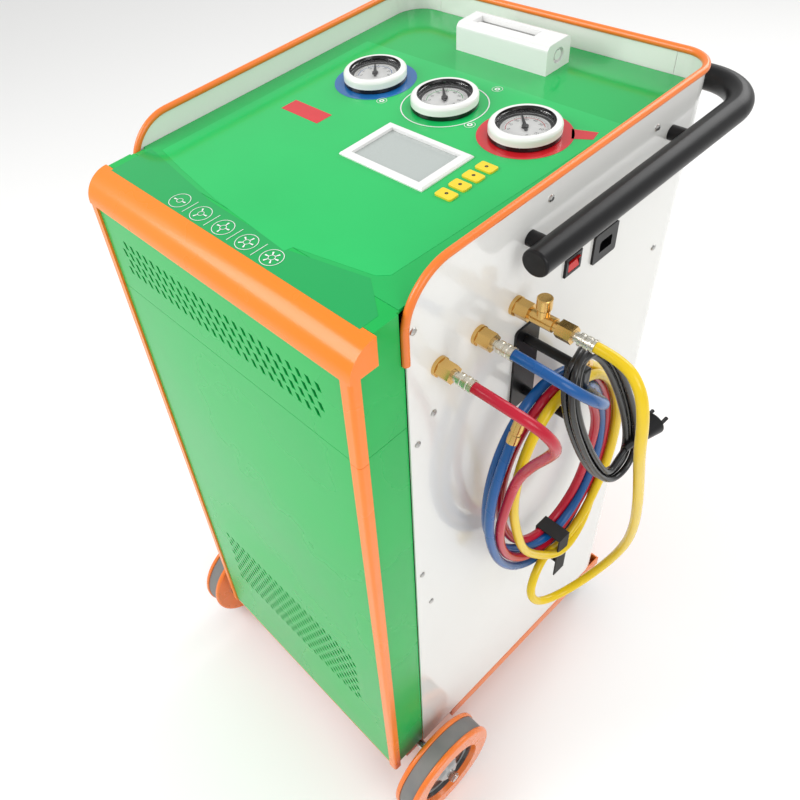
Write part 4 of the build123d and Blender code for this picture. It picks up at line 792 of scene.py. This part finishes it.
FITTING = ((0, 0), (0, 0.0068), (0.004, 0.0072), (0.012, 0.0072), (0.013, 0.0062), (0.016, 0.0062),
           (0.017, 0.0072), (0.032, 0.0072), (0.034, 0.0058), (0.038, 0.0058), (0.038, 0.0036), (0.030, 0.0036),
           (0.030, 0))
for name, route, stations, colour in (
        ("red", RED_ROUTE, RED_TURNS, (0.52, 0.004, 0.028)),
        ("blue", BLUE_ROUTE, BLUE_TURNS, (0.003, 0.095, 0.33)),
        ("yellow", YELLOW_ROUTE, YELLOW_TURNS, (0.86, 0.60, 0.005))):
    rubber = finish(f"{name}_hose_rubber", colour, gloss=(0.2, 0.3), tone=0.12, patch=14.0, grain=500.0, coat=0.15,
                    specular=0.35, dust=0.02)
    turns = turn_points(stations)
    hose = add_cord(f"{name}_hose_cord", [*route, *turns], HOSE_DIAMETER, rubber)
    before, last = (listed(x, y, z / 1000) for x, y, z in turns[-2:])
    fitting = turned_piece(f"{name}_hose_fitting", last - (last - before).normalized() * 0.006,
                           last + (last - before), FITTING, brass, "cabinet")
    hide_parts(f"{name}_hose")
    round(cord_length(hose), 2)
    if name == "red":
        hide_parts("hose_coil")


# Hose strap: black woven hook-and-loop tape wrapped once round the turns, its tail hanging free.
def woven_group():
    """Woven tape: two sets of threads that pass over and under each other."""
    group, given, result = new_group(
        "woven_tape", (("Color", "Colour", (0.02, 0.02, 0.02, 1)), ("Float", "Threads per metre", 900.0)),
        (("Color", "Colour"), ("Float", "Height")))
    place = group.nodes.new("ShaderNodeTexCoord")
    waves = []
    for direction in ("X", "Z"):
        wave = group.nodes.new("ShaderNodeTexWave")
        wave.bands_direction = direction
        wave.inputs["Distortion"].default_value = 0.3
        link(group, (place.outputs["Object"], wave.inputs["Vector"]),
             (given.outputs["Threads per metre"], wave.inputs["Scale"]))
        waves.append(wave)
    woven = group.nodes.new("ShaderNodeMath")
    woven.operation = "MAXIMUM"
    shade = group.nodes.new("ShaderNodeHueSaturation")
    tone = group.nodes.new("ShaderNodeMapRange")
    tone.inputs["To Min"].default_value = 0.6
    tone.inputs["To Max"].default_value = 1.3
    link(group, (waves[0].outputs["Fac"], woven.inputs[0]), (waves[1].outputs["Fac"], woven.inputs[1]),
         (woven.outputs[0], tone.inputs["Value"]), (tone.outputs["Result"], shade.inputs["Value"]),
         (given.outputs["Colour"], shade.inputs["Color"]), (shade.outputs["Color"], result.inputs["Colour"]),
         (woven.outputs[0], result.inputs["Height"]))
    return group


strap_weave, tree, shader = shader_base("strap_weave")
threads = place_group(tree, woven_group(), Colour=(0.014, 0.014, 0.015, 1), Threads_per_metre=300.0)
link(tree, (threads.outputs["Colour"], shader.inputs["Base Color"]))
shader.inputs["Roughness"].default_value = 0.7
add_bump(tree, shader, threads.outputs["Height"], 0.0002)
cover(strap_weave, "hose_strap")


# Mains lead: black flexible cord folded into a hank that hangs on the short arm, with a moulded plug at
# its outer end and an appliance connector at the other. Both ends have a tapered boot.
LEAD_DIAMETER = 0.008
HANK_CENTRE = Vector((336, 297, 909))
HANK_ALONG = -Vector((0.163, 0.297, -0.941)).normalized()
HANK_OUT = (Vector((1, 0, 0)) - HANK_ALONG * HANK_ALONG.x).normalized()
HANK_ACROSS = HANK_OUT.cross(HANK_ALONG)
HANK_HALF = (52, 128)
LEAD_START = ((300, 287, 983), (300, 288, 1000), (306, 279, 1021))
LEAD_TURNS = ((0, -4.5, 6), (330, -4.5, 7), (390, 4.5, 6.5), (690, 4.5, 7), (750, -4.5, 14.5),
              (1050, -4.5, 15), (1110, 4.5, 15), (1190, 4.5, 16))
PLUG_SEAT = (352.0, 359.4, 826.8)
LEAD_END = ((356, 300, 812), (353, 325, 818), (352, 343, 826.8), PLUG_SEAT)


def hank_point(angle, out, inset):
    """Point of the hank, its angle counted from the top towards the front, in millimetres."""
    swell = 1 / (abs(cos(angle)) ** 2.5 + abs(sin(angle)) ** 2.5) ** 0.4
    return (HANK_CENTRE + HANK_ALONG * (HANK_HALF[1] - inset) * cos(angle) * swell
            + HANK_ACROSS * (HANK_HALF[0] - inset) * sin(angle) * swell + HANK_OUT * out)


points = list(LEAD_START)
for (a0, out0, in0), (a1, out1, in1) in zip(LEAD_TURNS, LEAD_TURNS[1:]):
    count = max(1, round((a1 - a0) / 20))
    for step in range(count):
        part = step / count
        points.append(hank_point(radians(a0 + (a1 - a0) * part), out0 + (out1 - out0) * part,
                                 in0 + (in1 - in0) * part))
angle, out, inset = LEAD_TURNS[-1]
points += [hank_point(radians(angle), out, inset), *LEAD_END]
sheath = finish("black_lead_sheath", (0.004, 0.004, 0.0045), gloss=(0.22, 0.34), patch=20.0, grain=500.0, coat=0.3,
                dust=0.03)
lead = add_cord("mains_lead", points, LEAD_DIAMETER, sheath)
seat = listed(PLUG_SEAT[0], PLUG_SEAT[1], PLUG_SEAT[2] / 1000)
plug_boot = turned_piece("plug_boot", seat - Vector((0, 0.022, 0)), seat,
                         ((0, 0), (0, 0.0045), (0.004, 0.0050), (0.012, 0.0062), (0.022, 0.0078), (0.0228, 0.0078),
                          (0.0228, 0)), sheath, "cabinet")
start = listed(LEAD_START[0][0], LEAD_START[0][1], LEAD_START[0][2] / 1000)
connector_boot = turned_piece("connector_boot", start + Vector((0, 0, 0.018)), start,
                              ((0, 0), (0, 0.0045), (0.006, 0.0052), (0.018, 0.0078), (0.020, 0.0078), (0.020, 0)),
                              sheath, "cabinet")
bm = bmesh.new()
bmesh.ops.create_cube(bm, size=1.0)
bmesh.ops.scale(bm, verts=bm.verts, vec=(0.0270, 0.0160, 0.034))
bmesh.ops.bevel(bm, geom=bm.edges[:], offset=0.003, affect="EDGES", segments=3, profile=0.5, material=-1)
bmesh.ops.translate(bm, verts=bm.verts, vec=start - Vector((0, 0, 0.018)))
connector = add_piece("appliance_connector", bm, sheath, "cabinet", smooth=radians(35))
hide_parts("power_cord_coil")
round(cord_length(lead), 2)
cover(black_plastic, "power_plug")
